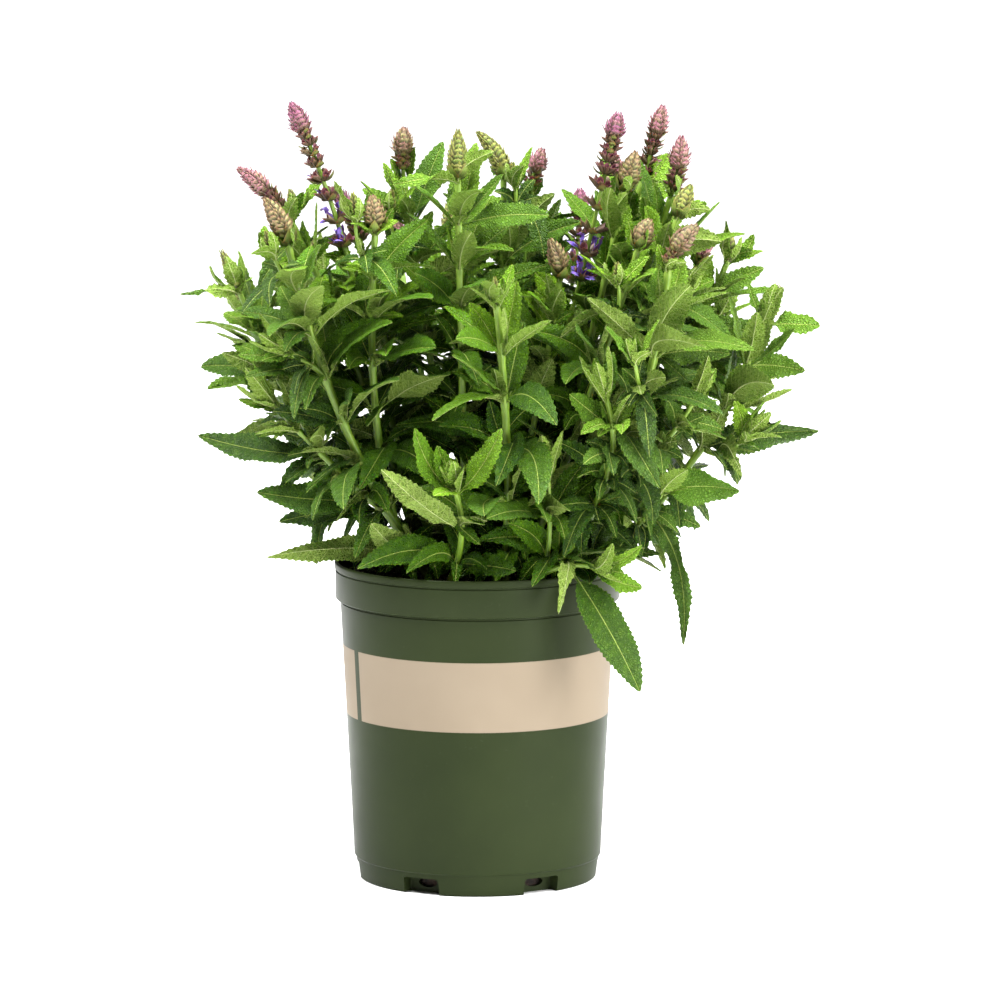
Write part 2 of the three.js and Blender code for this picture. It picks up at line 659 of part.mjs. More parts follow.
const LARGE = 54;
const SMALL = 28;
const MIDRIB = 1.5;
const MIDRIB_SMALL = 1.3;
const STALK_EXTRA = 0.5;
const TOOTH_PLACE = 0.62;
const RINGS = { large: [0.1, 0.34, 0.7], medium: [0.12, 0.46], small: [0.34] };
const TOOTH = 1.16;

function growLeaf(skin, loop, leaf) {
  let kind = 'medium';
  if (leaf.size >= LARGE) {
    kind = 'large';
  } else if (leaf.size < SMALL) {
    kind = 'small';
  }
  const stations = RINGS[kind];
  const thick = kind === 'small' ? MIDRIB_SMALL : MIDRIB;
  let low = null;
  let lowT = 0;
  for (const t of stations) {
    const place = leafPlace(leaf, t);
    const half = (low === null ? thick + STALK_EXTRA : thick) / 2;
    const high = skin.ring([
      along(place.p, place.n, -half), bladePoint(leaf, t, 1),
      along(place.p, place.n, half), bladePoint(leaf, t, -1),
    ]);
    if (low === null) {
      skin.twistedWall(loop, high);
    } else {
      const toothed = kind !== 'small' && lowT > STALK_SHARE - 0.02;
      const toothT = mix(lowT, t, TOOTH_PLACE);
      const right = toothed ? skin.point(bladePoint(leaf, toothT, TOOTH)) : high[1];
      const left = toothed ? skin.point(bladePoint(leaf, toothT, -TOOTH)) : high[3];
      const rightEnd = toothed ? [high[1]] : [];
      const leftEnd = toothed ? [high[3]] : [];
      skin.fan(right, [...rightEnd, high[0], low[0], low[1]]);
      skin.fan(right, [low[1], low[2], high[2], ...rightEnd]);
      skin.fan(left, [...leftEnd, high[2], low[2], low[3]]);
      skin.fan(left, [low[3], low[0], high[0], ...leftEnd]);
    }
    low = high;
    lowT = t;
  }
  skin.close(low, skin.point(leaf.tip));
}

// ---------- skins: heads ----------

// Rings of a head with four sides, each turned an eighth further than the last; a scale is a
// three-sided point raised from a side, reaching out and up along the axis.
function growHead(skin, axis, rings, low) {
  let ring = low;
  let turn = 0;
  for (const level of rings) {
    turn += 1;
    const place = axis.at(level.s);
    const next = skin.ring([0, 1, 2, 3].map((k) => {
      const angle = radians(-135 + 90 * k + 45 * turn);
      const radial = add(scale(place.e1, Math.cos(angle)), scale(place.e2, Math.sin(angle)));
      return along(place.p, radial, level.radius);
    }));
    for (let k = 0; k < 4; k += 1) {
      const after = (k + 1) % 4;
      if (level.scale) {
        const angle = radians(-135 + 90 * k + 45 * turn);
        const radial = add(scale(place.e1, Math.cos(angle)), scale(place.e2, Math.sin(angle)));
        const rise = level.scale.rise[k % level.scale.rise.length];
        const out = level.scale.out[k % level.scale.out.length];
        const tip = skin.point(along(along(place.p, place.d, rise), radial, out));
        skin.fan(tip, [ring[k], ring[after], next[k], ring[k]]);
      } else {
        skin.faces.push(ring[k], ring[after], next[k]);
      }
      skin.faces.push(ring[after], next[after], next[k]);
    }
    ring = next;
  }
  skin.close(ring, skin.point(axis.at(axis.length).p));
}

const RACHIS = 1.15;
const LOWEST_GAP = 14;
const GAP_SHRINK = 0.9;
const SCALE_PITCH = 5.6;

function coneRings(from, to, half) {
  const count = Math.min(6, Math.max(3, Math.round((to - from) / SCALE_PITCH)));
  const rings = [];
  for (let i = 1; i <= count; i += 1) {
    const t = (i - 0.35) / (count + 0.1);
    const girth = Math.sqrt(Math.max(0.08, 1 - ((t - 0.34) / 0.7) ** 2));
    rings.push({
      s: mix(from, to, t), radius: half * 0.62 * girth,
      scale: { out: [half * girth * 1.02], rise: [1.6] },
    });
  }
  return rings;
}

function whorlRings(s, open, reach) {
  const out = open ? [reach + 3.6, reach - 1] : [reach];
  const rise = open ? [4.4, 1.2] : [1.4];
  return [
    { s: s - 1.8, radius: RACHIS },
    { s, radius: RACHIS + 1.1, scale: { out, rise } },
    { s: s + 1.9, radius: RACHIS, scale: { out: [reach - 0.6], rise: [1.6] } },
  ];
}

// Whorls of a spike below its closed cone, from the lowest up.
function whorlPlaces(head, total) {
  const cone = total * (1 - head.cone);
  const places = [];
  let gap = head.cone < 0.4 ? LOWEST_GAP : 8;
  for (let s = 3.4; s < cone - 3; s += gap) {
    places.push(s);
    gap = Math.max(5.4, gap * GAP_SHRINK);
  }
  return places;
}

function spikeRings(head, total) {
  const coneStart = total * (1 - head.cone);
  const rings = [];
  const places = whorlPlaces(head, total);
  for (const s of places) {
    const open = head.finish === 'violet' && s < total * 0.52;
    rings.push(...whorlRings(s, open, head.half * 0.95));
  }
  rings.push(...coneRings(coneStart, total, head.half));
  return rings;
}

// ---------- skins: shoots ----------

const cornerRing = (skin, place, half) => skin.ring([0, 1, 2, 3].map((k) => corner(place, k, half)));

function growShoot(skin, shoot, low) {
  let ring = low;
  for (const node of shoot.nodes) {
    const sides = shoot.sides.filter((one) => one.node === node);
    const bare = node.leaves[0] === null && node.leaves[1] === null && sides.length === 0;
    if (bare) {
      continue;
    }
    const half = halfAt(shoot, node.s);
    const under = cornerRing(skin, shoot.axis.at(node.s - NODE_HEIGHT / 2), half);
    const over = cornerRing(skin, shoot.axis.at(node.s + NODE_HEIGHT / 2), half);
    skin.wall(ring, under);
    const open = [];
    for (const side of [0, 1]) {
      const leaf = node.leaves[side];
      if (leaf !== null) {
        const face = node.turn + 2 * side;
        open.push(face);
        growLeaf(skin, skin.opening(under, over, face), leaf);
      }
    }
    skin.wall(under, over, open);
    ring = over;
    if (sides.length > 0) {
      const upper = cornerRing(skin, shoot.axis.at(node.s + NODE_HEIGHT * 1.5), half);
      skin.wall(over, upper, sides.map((one) => one.face));
      for (const one of sides) {
        growShoot(skin, one.shoot, skin.opening(over, upper, one.face));
      }
      ring = upper;
    }
  }
  const { head, headAxis } = shoot;
  if (head.kind === 'spike') {
    const end = cornerRing(skin, shoot.axis.at(shoot.axis.length), halfAt(shoot, shoot.axis.length));
    skin.wall(ring, end);
    skin.fan(end[0], [end[1], end[2], end[3]]);
  } else if (head.kind === 'knob') {
    growHead(skin, headAxis, coneRings(1, headAxis.length, head.half), ring);
  } else {
    const middle = { s: Math.min(5, headAxis.length * 0.4), radius: 1.5 };
    growHead(skin, headAxis, [middle], ring);
  }
}

// ---------- the scene graph ----------

const plant = new THREE.Group();

function addMesh(name, geometry, finish) {
  const mesh = new THREE.Mesh(geometry, new THREE.MeshStandardMaterial(FINISH[finish]));
  mesh.name = name;
  plant.add(mesh);
}

function addStem(stem) {
  const skin = new Skin();
  const at = stem.axis.at(0);
  const upright = { p: at.p, d: [0, 0, 1], e1: [Math.cos(stem.phase), Math.sin(stem.phase), 0] };
  upright.e2 = cross(upright.d, upright.e1);
  const rootPlace = { ...upright, p: [at.p[0], at.p[1], SOIL_TOP - ROOT_DEPTH] };
  const root = cornerRing(skin, rootPlace, stem.radius);
  const collar = cornerRing(skin, upright, stem.radius);
  skin.startCap(root);
  skin.wall(root, collar);
  growShoot(skin, stem, collar);
  addMesh(`stem_${stem.name}`, skin.geometry(), 'foliage');
}

function addSpike(shoot) {
  const skin = new Skin();
  const base = cornerRing(skin, shoot.headAxis.at(SPIKE_SEAT), RACHIS * 0.9);
  skin.startCap(base);
  growHead(skin, shoot.headAxis, spikeRings(shoot.head, shoot.headAxis.length), base);
  addMesh(`spike_${shoot.name}`, skin.geometry(), shoot.head.finish);
}

for (const shoot of shoots) {
  if (shoot.parent === null) {
    addStem(shoot);
  }
  if (shoot.head.kind === 'spike') {
    addSpike(shoot);
  }
}

// ---------- the pot and its soil ----------

function lathe(profile, sides) {
  const points = profile.map(([r, z]) => new THREE.Vector2(r, z));
  const geometry = new THREE.LatheGeometry(points, sides);
  geometry.rotateX(Math.PI / 2);
  return geometry;
}

function solid(geometry) {
  geometry.deleteAttribute('normal');
  geometry.deleteAttribute('uv');
  const merged = mergeVertices(geometry, 1e-4);
  return new wasm.Manifold(new wasm.Mesh({
    numProp: 3,
    vertProperties: new Float32Array(merged.attributes.position.array),
    triVerts: new Uint32Array(merged.index.array),
  }));
}

function fromSolid(body) {
  const mesh = body.getMesh();
  const geometry = new THREE.BufferGeometry();
  geometry.setAttribute('position', new THREE.BufferAttribute(new Float32Array(mesh.vertProperties), 3));
  geometry.setIndex(new THREE.BufferAttribute(new Uint32Array(mesh.triVerts), 1));
  return geometry;
}

const wallRadius = (z) => mix(
  WALL_FOOT_RADIUS,
  WALL_TOP_RADIUS,
  (z - STEP_HEIGHT) / (COLLAR_BOTTOM - STEP_HEIGHT),
);

const innerWall = (z) => wallRadius(z) - WALL;
const COLLAR_INNER = COLLAR_RADIUS - WALL;

function makePot() {
  const profile = [
    [0, 0], [BASE_RADIUS - FOOT_CHAMFER[0], 0], [BASE_RADIUS, FOOT_CHAMFER[1]],
    [WALL_FOOT_RADIUS - STEP_IN[0], STEP_HEIGHT - STEP_IN[1]], [WALL_FOOT_RADIUS, STEP_HEIGHT],
    [WALL_TOP_RADIUS, COLLAR_BOTTOM - COLLAR_CHAMFER], [COLLAR_RADIUS, COLLAR_BOTTOM],
    [COLLAR_RADIUS, POT_HEIGHT - BEAD_HEIGHT - BEAD_EASE], [RIM_RADIUS, POT_HEIGHT - BEAD_HEIGHT],
    [RIM_RADIUS, POT_HEIGHT - BEAD_EASE], [RIM_RADIUS - BEAD_EASE, POT_HEIGHT],
    [COLLAR_INNER, POT_HEIGHT], [COLLAR_INNER, COLLAR_BOTTOM + WALL],
    [WALL_TOP_RADIUS - WALL, COLLAR_BOTTOM - WALL],
    [innerWall(LEDGE_TOP), LEDGE_TOP], [LEDGE_RADIUS, LEDGE_TOP],
    [LEDGE_RADIUS, FLOOR_TOP], [0, FLOOR_TOP],
  ];
  let pot = solid(lathe(profile, POT_SIDES));
  for (let i = 0; i < NOTCHES; i += 1) {
    // The front of the pot faces -Y.
    const angle = radians(NOTCH_TURN + (360 / NOTCHES) * i - 90);
    const depth = 2 * (WALL_FOOT_RADIUS - NOTCH_BACK);
    const pocket = new THREE.BoxGeometry(depth, NOTCH_WIDTH, 2 * NOTCH_HEIGHT);
    pocket.translate(NOTCH_BACK + depth / 2, 0, 0);
    pocket.rotateZ(angle);
    pot = pot.subtract(solid(pocket));
    const through = 4 * (NOTCH_BACK - LEDGE_RADIUS);
    const drain = new THREE.CylinderGeometry(DRAIN_HALF_HEIGHT, DRAIN_HALF_HEIGHT, through, 8);
    drain.rotateZ(Math.PI / 2);
    drain.scale(1, DRAIN_HALF_WIDTH / DRAIN_HALF_HEIGHT, 1);
    drain.translate(LEDGE_RADIUS, 0, DRAIN_HEIGHT);
    drain.rotateZ(angle);
    pot = pot.subtract(solid(drain));
  }
  return fromSolid(pot);
}

function makeSoil() {
  const profile = [
    [0, FLOOR_TOP + FIT], [LEDGE_RADIUS - FIT, FLOOR_TOP + FIT],
    [LEDGE_RADIUS - FIT, LEDGE_TOP + FIT], [innerWall(LEDGE_TOP) - FIT, LEDGE_TOP + FIT],
    [WALL_TOP_RADIUS - WALL - FIT, COLLAR_BOTTOM - WALL], [COLLAR_INNER - FIT, COLLAR_BOTTOM + WALL],
    [COLLAR_INNER - FIT, SOIL_TOP - SOIL_RELIEF], [SOIL_CROWN_RADIUS, SOIL_TOP],
    [SOIL_CROWN_RADIUS * 0.7, SOIL_TOP], [0, SOIL_TOP],
  ];
  const geometry = lathe(profile, SOIL_SIDES);
  const at = geometry.attributes.position;
  for (let i = 0; i < at.count; i += 1) {
    const [x, y, z] = [at.getX(i), at.getY(i), at.getZ(i)];
    if (z > SOIL_TOP - 0.1) {
      at.setZ(i, z + SOIL_RELIEF * Math.sin(x / 9) * Math.cos(y / 7));
    }
  }
  let soil = solid(geometry);
  for (const stem of shoots.filter((shoot) => shoot.parent === null)) {
    const width = 2 * (stem.radius + FIT);
    const hole = new THREE.BoxGeometry(width, width, 3 * ROOT_DEPTH);
    hole.rotateZ(stem.phase);
    const [x, y] = stem.axis.at(0).p;
    hole.translate(x, y, SOIL_TOP + ROOT_DEPTH / 2 - FIT);
    soil = soil.subtract(solid(hole));
  }
  return fromSolid(soil);
}

addMesh('nursery_pot', makePot(), 'pot');
addMesh('potting_mix', makeSoil(), 'soil');

export default plant;
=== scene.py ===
"""A perennial salvia in its nursery pot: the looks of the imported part.

The stems, leaf places and flower heads follow the same growth rule as the solids, and each leaf
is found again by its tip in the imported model. The plant's and the pot's lengths are in
millimetres until a mesh is made, and the studio's are in metres.
"""

import json
import math

import bpy
import numpy as np
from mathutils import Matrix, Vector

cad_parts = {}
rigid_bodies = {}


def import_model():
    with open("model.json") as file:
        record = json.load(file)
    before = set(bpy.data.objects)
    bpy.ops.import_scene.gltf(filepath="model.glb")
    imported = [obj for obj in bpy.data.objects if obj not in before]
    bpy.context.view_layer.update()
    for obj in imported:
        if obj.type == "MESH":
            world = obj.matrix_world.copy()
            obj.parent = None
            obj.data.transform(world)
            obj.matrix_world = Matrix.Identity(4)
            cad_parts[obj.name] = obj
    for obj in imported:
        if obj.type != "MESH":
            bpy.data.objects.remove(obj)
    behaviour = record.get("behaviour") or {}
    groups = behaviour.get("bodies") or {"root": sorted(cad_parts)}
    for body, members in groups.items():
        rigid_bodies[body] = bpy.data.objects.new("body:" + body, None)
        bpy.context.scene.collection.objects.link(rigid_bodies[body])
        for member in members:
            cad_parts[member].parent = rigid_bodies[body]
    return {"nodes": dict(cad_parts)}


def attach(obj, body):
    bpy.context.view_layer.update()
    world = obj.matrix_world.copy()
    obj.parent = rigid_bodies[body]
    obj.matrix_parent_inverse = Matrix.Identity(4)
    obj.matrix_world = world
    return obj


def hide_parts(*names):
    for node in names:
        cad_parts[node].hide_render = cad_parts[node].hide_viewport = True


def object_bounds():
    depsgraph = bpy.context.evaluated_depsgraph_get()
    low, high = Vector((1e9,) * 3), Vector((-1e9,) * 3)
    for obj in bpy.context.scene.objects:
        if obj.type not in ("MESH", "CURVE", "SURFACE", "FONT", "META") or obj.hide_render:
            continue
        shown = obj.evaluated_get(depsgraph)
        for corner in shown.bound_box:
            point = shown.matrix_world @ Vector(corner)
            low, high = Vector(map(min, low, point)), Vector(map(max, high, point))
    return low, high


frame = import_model()
cad_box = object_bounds()

MM = 0.001

# ---------- sizes shared with the solids, in millimetres ----------

POT_HEIGHT = 184.4
RIM_RADIUS = 82.4
COLLAR_RADIUS = 82.0
COLLAR_BOTTOM = 163.4
WALL_TOP_RADIUS = 79.2
WALL_FOOT_RADIUS = 71.3
STEP_HEIGHT = 13.4
BASE_RADIUS = 68.9
WALL = 1.5
FLOOR_TOP = 2.2
LEDGE_TOP = 11.8
LEDGE_RADIUS = 58.0
NOTCHES = 6
NOTCH_TURN = -27.8
NOTCH_WIDTH = 22.5
NOTCH_HEIGHT = 9.6
NOTCH_BACK = 60.6
DRAIN_HALF_WIDTH = 6.0
DRAIN_HALF_HEIGHT = 2.7
DRAIN_HEIGHT = 5.6
SOIL_TOP = 175.0
ROOT_DEPTH = 6.5
FIT = 0.35

NODE_HEIGHT = 3.4
FIRST_NODE = 15.0
NODE_PITCH = 27
BRANCH_FIRST_NODE = 9
BRANCH_NODE_PITCH = 19
NODE_CROWDING = 0.92
HEAD_GAP = 3.0
TOP_SLIMNESS = 0.68
BEND_SHARE = 0.42
CHORD_SHARE = 0.95
SEED = 20861

CROWN_X = 12.0
CROWN = [(185, 106), (212, 124), (235, 142), (258, 170), (340, 176), (366, 152), (400, 122), (440, 100)]

# ---------- the stems ----------


def spike(tip, finish, half, cone=1.0):
    return {"kind": "spike", "tip": tip, "finish": finish, "half": half, "cone": cone}


def knob(tip, half):
    return {"kind": "knob", "tip": tip, "half": half, "finish": "green"}


def bud(tip):
    return {"kind": "bud", "tip": tip, "half": 2.0, "finish": "green"}


def stem(name, foot, via, top, radius, head, branches=(), first=None):
    return {"name": name, "foot": foot, "via": via, "top": top, "radius": radius, "head": head,
            "branches": branches, "first": first}


def branch(at, top, via, radius, head):
    return {"at": at, "top": top, "via": via, "radius": radius, "head": head, "first": None}


STEMS = [
    stem("left_bloom", (-20, 5), (-50, 10, 266), (-74, 12, 355), 2.3,
         spike((-107, 12, 448), "violet", 6.6, 0.29)),
    stem("left_pink", (-31, 8), (-64, 10, 280), (-106, 12, 377), 2.2,
         spike((-138, 12, 410), "pink", 6, 0.72),
         [branch(340, (-106, 23, 382), (-103, 22, 364), 1.2, knob((-108, 24, 397), 4))]),
    stem("left_front", (-26, -27), (-75, -38, 266), (-107, -38, 370), 2.5,
         spike((-121, -38, 398), "blush", 6.4),
         [branch(206, (-114, -28, 276), (-78, -37, 240), 1.7, bud((-140, -30, 309))),
          branch(288, (-105, -46, 309), (-93, -44, 302), 1.4, bud((-118, -48, 329))),
          branch(334, (-115, -42, 364), (-108, -42, 350), 1.2, knob((-120, -43, 380), 3.6))]),
    stem("left_outer", (-40, -8), (-98, -11, 262), (-136, -10, 341), 2, knob((-147, -10, 366), 4.6)),
    stem("left_twin", (-36, -12), (-57, -24, 262), (-58, -30, 376), 2.3,
         spike((-60, -30, 399), "blush", 6.2),
         [branch(352, (-69, -33, 384), (-67, -33, 368), 1.2, knob((-71, -34, 401), 4))]),
    stem("left_violet", (-13, 18), (-42, 33, 270), (-66, 45, 357), 2.1,
         spike((-83, 45, 396), "violet", 6.6, 0.8)),
    stem("centre_pink", (-9, 5), (-25, 14, 284), (-42, 20, 401), 2.2,
         spike((-42, 20, 433), "blush", 6.4, 0.7),
         [branch(352, (-50, 12, 384), (-46, 12, 366), 1.2, knob((-49, 11, 398), 3.8))]),
    stem("centre_green", (-6, -13), (-9, -19, 298), (-11, -15, 405), 2.4,
         spike((-11, -15, 435), "green", 6.4)),
    stem("centre_front", (16, -40), (17, -58, 256), (11, -70, 340), 2.4, knob((10, -71, 357), 3.8)),
    stem("centre_leaning", (4, 17), (13, 26, 296), (15, 35, 401), 2.1,
         spike((-1, 35, 429), "green", 5.8),
         [branch(366, (22, 31, 396), (21, 31, 382), 1.2, knob((20, 30, 412), 3.6))]),
    stem("centre_back_pink", (14, 27), (24, 43, 284), (31, 55, 389), 2.1,
         spike((38, 55, 417), "pink", 6.2, 0.75)),
    stem("right_small_bud", (10, -21), (31, -24, 260), (47, -22, 349), 2,
         spike((41, -22, 373), "blush", 5.8)),
    stem("right_bloom", (17, 4), (37, 7, 258), (55, 6, 330), 2.3,
         spike((81, 5, 443), "violet", 6.8, 0.2)),
    stem("right_back_magenta", (26, 33), (55, 53, 286), (83, 70, 391), 2,
         spike((78, 70, 411), "pink", 5.4)),
    stem("right_green", (28, -2), (58, -4, 285), (84, 0, 396), 2.2, spike((91, 0, 421), "blush", 6.4)),
    stem("right_pink", (29, 14), (60, 27, 290), (95, 34, 399), 2.2,
         spike((107, 35, 444), "pink", 6.2, 0.55)),
    stem("right_outer_pink", (42, 6), (77, 9, 288), (111, 10, 393), 2.2,
         spike((117, 10, 429), "pink", 6.6, 0.8)),
    stem("right_low_green", (40, -14), (76, -24, 282), (114, -21, 384), 2.1,
         spike((122, -21, 404), "green", 6.2),
         [branch(322, (117, -36, 344), (107, -35, 336), 1.3, knob((124, -38, 359), 4))]),
    stem("right_tan", (24, -29), (60, -41, 274), (91, -46, 369), 2.1,
         spike((98, -46, 387), "blush", 6.2),
         [branch(322, (80, -58, 350), (80, -56, 336), 1.2, knob((79, -59, 364), 3.6))]),
    stem("right_front", (38, -34), (86, -60, 264), (108, -62, 359), 2.6,
         spike((125, -62, 385), "pink", 6.4, 0.85),
         [branch(216, (73, -80, 288), (76, -72, 252), 1.8, bud((69, -81, 326))),
          branch(240, (122, -64, 284), (103, -62, 258), 1.6, bud((132, -67, 304))),
          branch(280, (89, -84, 309), (92, -77, 294), 1.4, bud((88, -88, 327)))]),
    stem("right_blush", (51, -6), (89, 2, 264), (127, 6, 353), 2, spike((129, 6, 372), "pink", 5.6)),
    stem("right_back_green", (50, 14), (100, 20, 264), (144, 24, 354), 2, knob((143, 24, 374), 5.2)),
    stem("right_outer", (52, -22), (118, -28, 239), (164, -15, 324), 2.4, knob((173, -15, 346), 4.8),
         [branch(205, (105, -60, 232), (95, -50, 216), 1.6, bud((112, -68, 250))),
          branch(250, (150, -29, 257), (139, -28, 250), 1.4, bud((173, -30, 270)))]),
    stem("front_young", (-17, -50), (-9, -66, 206), (-12, -84, 236), 1.9, bud((-14, -90, 272))),
    stem("front_small", (36, -54), (41, -62, 208), (40, -66, 241), 1.5, bud((40, -67, 271))),
    stem("front_runner", (27, -57), (46, -67, 190), (66, -77, 192), 1.7, bud((78, -90, 199)), first=30),
    stem("back_left", (-29, 30), (-62, 66, 262), (-92, 95, 336), 2.1, knob((-97, 100, 360), 5)),
    stem("back_left_pink", (-15, 36), (-31, 80, 270), (-45, 115, 338), 2.2,
         spike((-49, 121, 372), "pink", 6.2, 0.7)),
    stem("back_middle", (0, 42), (-1, 91, 262), (-2, 130, 334), 2.2, spike((-3, 138, 360), "blush", 6.2)),
    stem("back_right_bloom", (17, 44), (35, 84, 256), (52, 116, 316), 2.2,
         spike((60, 132, 386), "violet", 6.4, 0.3)),
    stem("back_right", (33, 30), (66, 64, 262), (98, 96, 338), 2.1, knob((104, 101, 362), 5)),
    stem("left_low_back", (-45, 12), (-95, 34, 250), (-132, 54, 318), 2, knob((-142, 58, 340), 4.6)),
    stem("right_low_back", (48, 25), (100, 44, 250), (140, 60, 318), 2, knob((150, 64, 340), 4.6)),
    stem("back_upper", (-6, 28), (-12, 60, 282), (-15, 82, 362), 2.1, spike((-16, 84, 386), "green", 6)),
    stem("back_upper_right", (13, 36), (26, 68, 278), (36, 88, 360), 2.1, knob((38, 91, 380), 5)),
]

# Leaves with a place of their own: the shoot, the height of the pair, the leaf's tip, its
# half-width and the roll of its blade in degrees.
OWN_LEAVES = [
    ("front_runner", 191, (92, -99, 124), 11.6, 34),
    ("front_runner", 186, (46, -90, 167), 5.5, 8),
    ("right_outer/1", 218, (117, -72, 146), 6.4, 88),
    ("left_outer", 196, (-121, -28, 190), 8, 42),
    ("left_front", 196, (-60, -64, 215), 9, 0),
    ("front_young", 190, (22, -86, 191), 7, 25),
    ("front_young", 206, (-54, -93, 250), 8.5, 12),
    ("front_young", 234, (-35, -98, 274), 7, -36),
    ("front_young", 234, (14, -98, 274), 7.2, 58),
    ("left_twin", 268, (-15, -62, 300), 9.4, -122),
    ("left_outer", 326, (-170, -16, 340), 4.6, 62),
    ("left_outer", 300, (-146, -20, 307), 7, 20),
    ("left_front/1", 256, (-160, -18, 259), 9.6, -36),
    ("left_front/1", 230, (-126, -30, 228), 10.4, -28),
    ("left_outer", 222, (-114, -12, 208), 8, -48),
    ("right_outer", 318, (196, -17, 322), 7.4, 62),
    ("right_outer", 288, (188, -8, 295), 7.4, 55),
    ("right_outer", 250, (195, -34, 264), 9.6, 18),
    ("right_outer/1", 230, (149, -66, 234), 11, 18),
    ("right_front", 316, (143, -66, 312), 9, 16),
    ("right_front", 316, (62, -74, 345), 7.6, 14),
    ("centre_green", 366, (41, -33, 387), 8, 56),
    ("centre_green", 392, (-48, -28, 404), 5.6, 18),
    ("right_small_bud", 262, (43, -47, 307), 7.4, 12),
    ("right_front/1", 262, (52, -88, 292), 7, -22),
]

# ---------- numbers, vectors and seeded draws ----------

WORD = 0xFFFFFFFF
STRIDES = (374761393, 668265263, 144665)
MIXERS = (1274126177, 2246822519)


def vec(*xyz):
    return np.array(xyz, float)


def length(a):
    return math.sqrt(float(a @ a))


def unit(a):
    return a / length(a)


def mix(a, b, t):
    return a + (b - a) * t


def square_to(v, axis):
    return unit(v - axis * float(v @ axis))


def draw(shoot, item, use):
    """A number from 0 to 1, always the same for the same shoot, item and use."""
    h = (shoot * STRIDES[0] + item * STRIDES[1] + use * STRIDES[2] + SEED) & WORD
    h = ((h ^ (h >> 13)) * MIXERS[0]) & WORD
    h ^= h >> 16
    h = (h * MIXERS[1]) & WORD
    h ^= h >> 15
    return h / (WORD + 1)


def between(low, high, shoot, item, use):
    return mix(low, high, draw(shoot, item, use))


def graded(rows, x):
    """Reads a list of (place, value) pairs at x."""
    return np.interp(x, [row[0] for row in rows], [row[1] for row in rows])


# ---------- curves ----------

CURVE_STEPS = 40
FACES = [(0, -1), (1, 0), (0, 1), (-1, 0)]


def bend(ends, t):
    p0, p1, p2 = ends
    q = 1 - t
    return q * q * p0 + 2 * q * t * p1 + t * t * p2


def pull(ends, t):
    p0, p1, p2 = ends
    return (1 - t) * (p1 - p0) + t * (p2 - p1)


class Axis:
    """A bent axis with a square frame carried along it, read by distance from its start."""

    def __init__(self, start, control, end, sideways):
        self.ends = (start, control, end)
        self.run = [0.0]
        self.sides = [square_to(sideways, unit(pull(self.ends, 0)))]
        for i in range(1, CURVE_STEPS + 1):
            t = i / CURVE_STEPS
            chord = bend(self.ends, t) - bend(self.ends, (i - 1) / CURVE_STEPS)
            self.run.append(self.run[-1] + length(chord))
            self.sides.append(square_to(self.sides[-1], unit(pull(self.ends, t))))
        self.length = self.run[-1]

    def at(self, distance):
        i = 1
        while i < CURVE_STEPS and self.run[i] < distance:
            i += 1
        share = (distance - self.run[i - 1]) / (self.run[i] - self.run[i - 1])
        t = (i - 1 + share) / CURVE_STEPS
        d = unit(pull(self.ends, min(t, 1)))
        e1 = square_to(self.sides[i], d)
        return {"p": bend(self.ends, t), "d": d, "e1": e1, "e2": np.cross(d, e1)}


def facing(place, k):
    return place["e1"] * FACES[k][0] + place["e2"] * FACES[k][1]


def radial(place, angle):
    return place["e1"] * math.cos(angle) + place["e2"] * math.sin(angle)


# ---------- growth: shoots and heads ----------

shoots = []


def make_shoot(spec, name, start, sideways, parent):
    top = vec(*spec["top"])
    control = 2 * vec(*spec["via"]) - (start + top) / 2
    axis = Axis(start, control, top, sideways)
    shoot = {"name": name, "index": len(shoots), "parent": parent, "axis": axis, "head": spec["head"],
             "radius": spec["radius"], "nodes": [], "branches": []}
    shoots.append(shoot)
    first = spec["first"] or (BRANCH_FIRST_NODE if parent else FIRST_NODE)
    last = axis.length - HEAD_GAP
    pitch = BRANCH_NODE_PITCH if parent else NODE_PITCH
    count = max(1, math.floor((last - first) / pitch + 0.5) + 1)
    for i in range(count):
        share = 1 if count == 1 else i / (count - 1)
        s = last if count == 1 else mix(first, last, share ** NODE_CROWDING)
        shoot["nodes"].append({"index": i, "s": s, "share": share, "turn": i % 2, "leaves": [None, None]})
    return shoot


def half_at(shoot, s):
    return shoot["radius"] * mix(1, TOP_SLIMNESS, s / shoot["axis"].length)


def nearest_node(shoot, height):
    return min(shoot["nodes"], key=lambda node: abs(shoot["axis"].at(node["s"])["p"][2] - height))


def best_face(place, choices, target):
    toward = unit(target - place["p"])
    return max(choices, key=lambda face: float(facing(place, face) @ toward))


def grow_branch(main, order, spec):
    node = nearest_node(main, spec["at"])
    place = main["axis"].at(node["s"] + NODE_HEIGHT)
    taken = [face for other, face in main["branches"] if other is node]
    choices = [face for face in (node["turn"], node["turn"] + 2) if face not in taken]
    face = best_face(place, choices, vec(*spec["top"]))
    out = facing(place, face)
    origin = place["p"] + out * half_at(main, node["s"])
    make_shoot(spec, f"{main['name']}/{order + 1}", origin, np.cross(place["d"], out), main)
    main["branches"].append((node, face))


def grow_shoots():
    for number, spec in enumerate(STEMS):
        if spec["branches"]:
            reach = spec["branches"][0]["top"]
            phase = math.atan2(reach[1] - spec["via"][1], reach[0] - spec["via"][0])
        else:
            phase = math.radians(between(0, 90, number, 0, 90))
        start = vec(*spec["foot"], SOIL_TOP + 2)
        main = make_shoot(spec, spec["name"], start, vec(math.cos(phase), math.sin(phase), 0), None)
        for order, branch_spec in enumerate(spec["branches"]):
            grow_branch(main, order, branch_spec)
    for shoot in shoots:
        top = shoot["axis"].at(shoot["axis"].length)
        tip = vec(*shoot["head"]["tip"])
        control = top["p"] + top["d"] * length(tip - top["p"]) * BEND_SHARE
        shoot["head_axis"] = Axis(top["p"], control, tip, top["e1"])


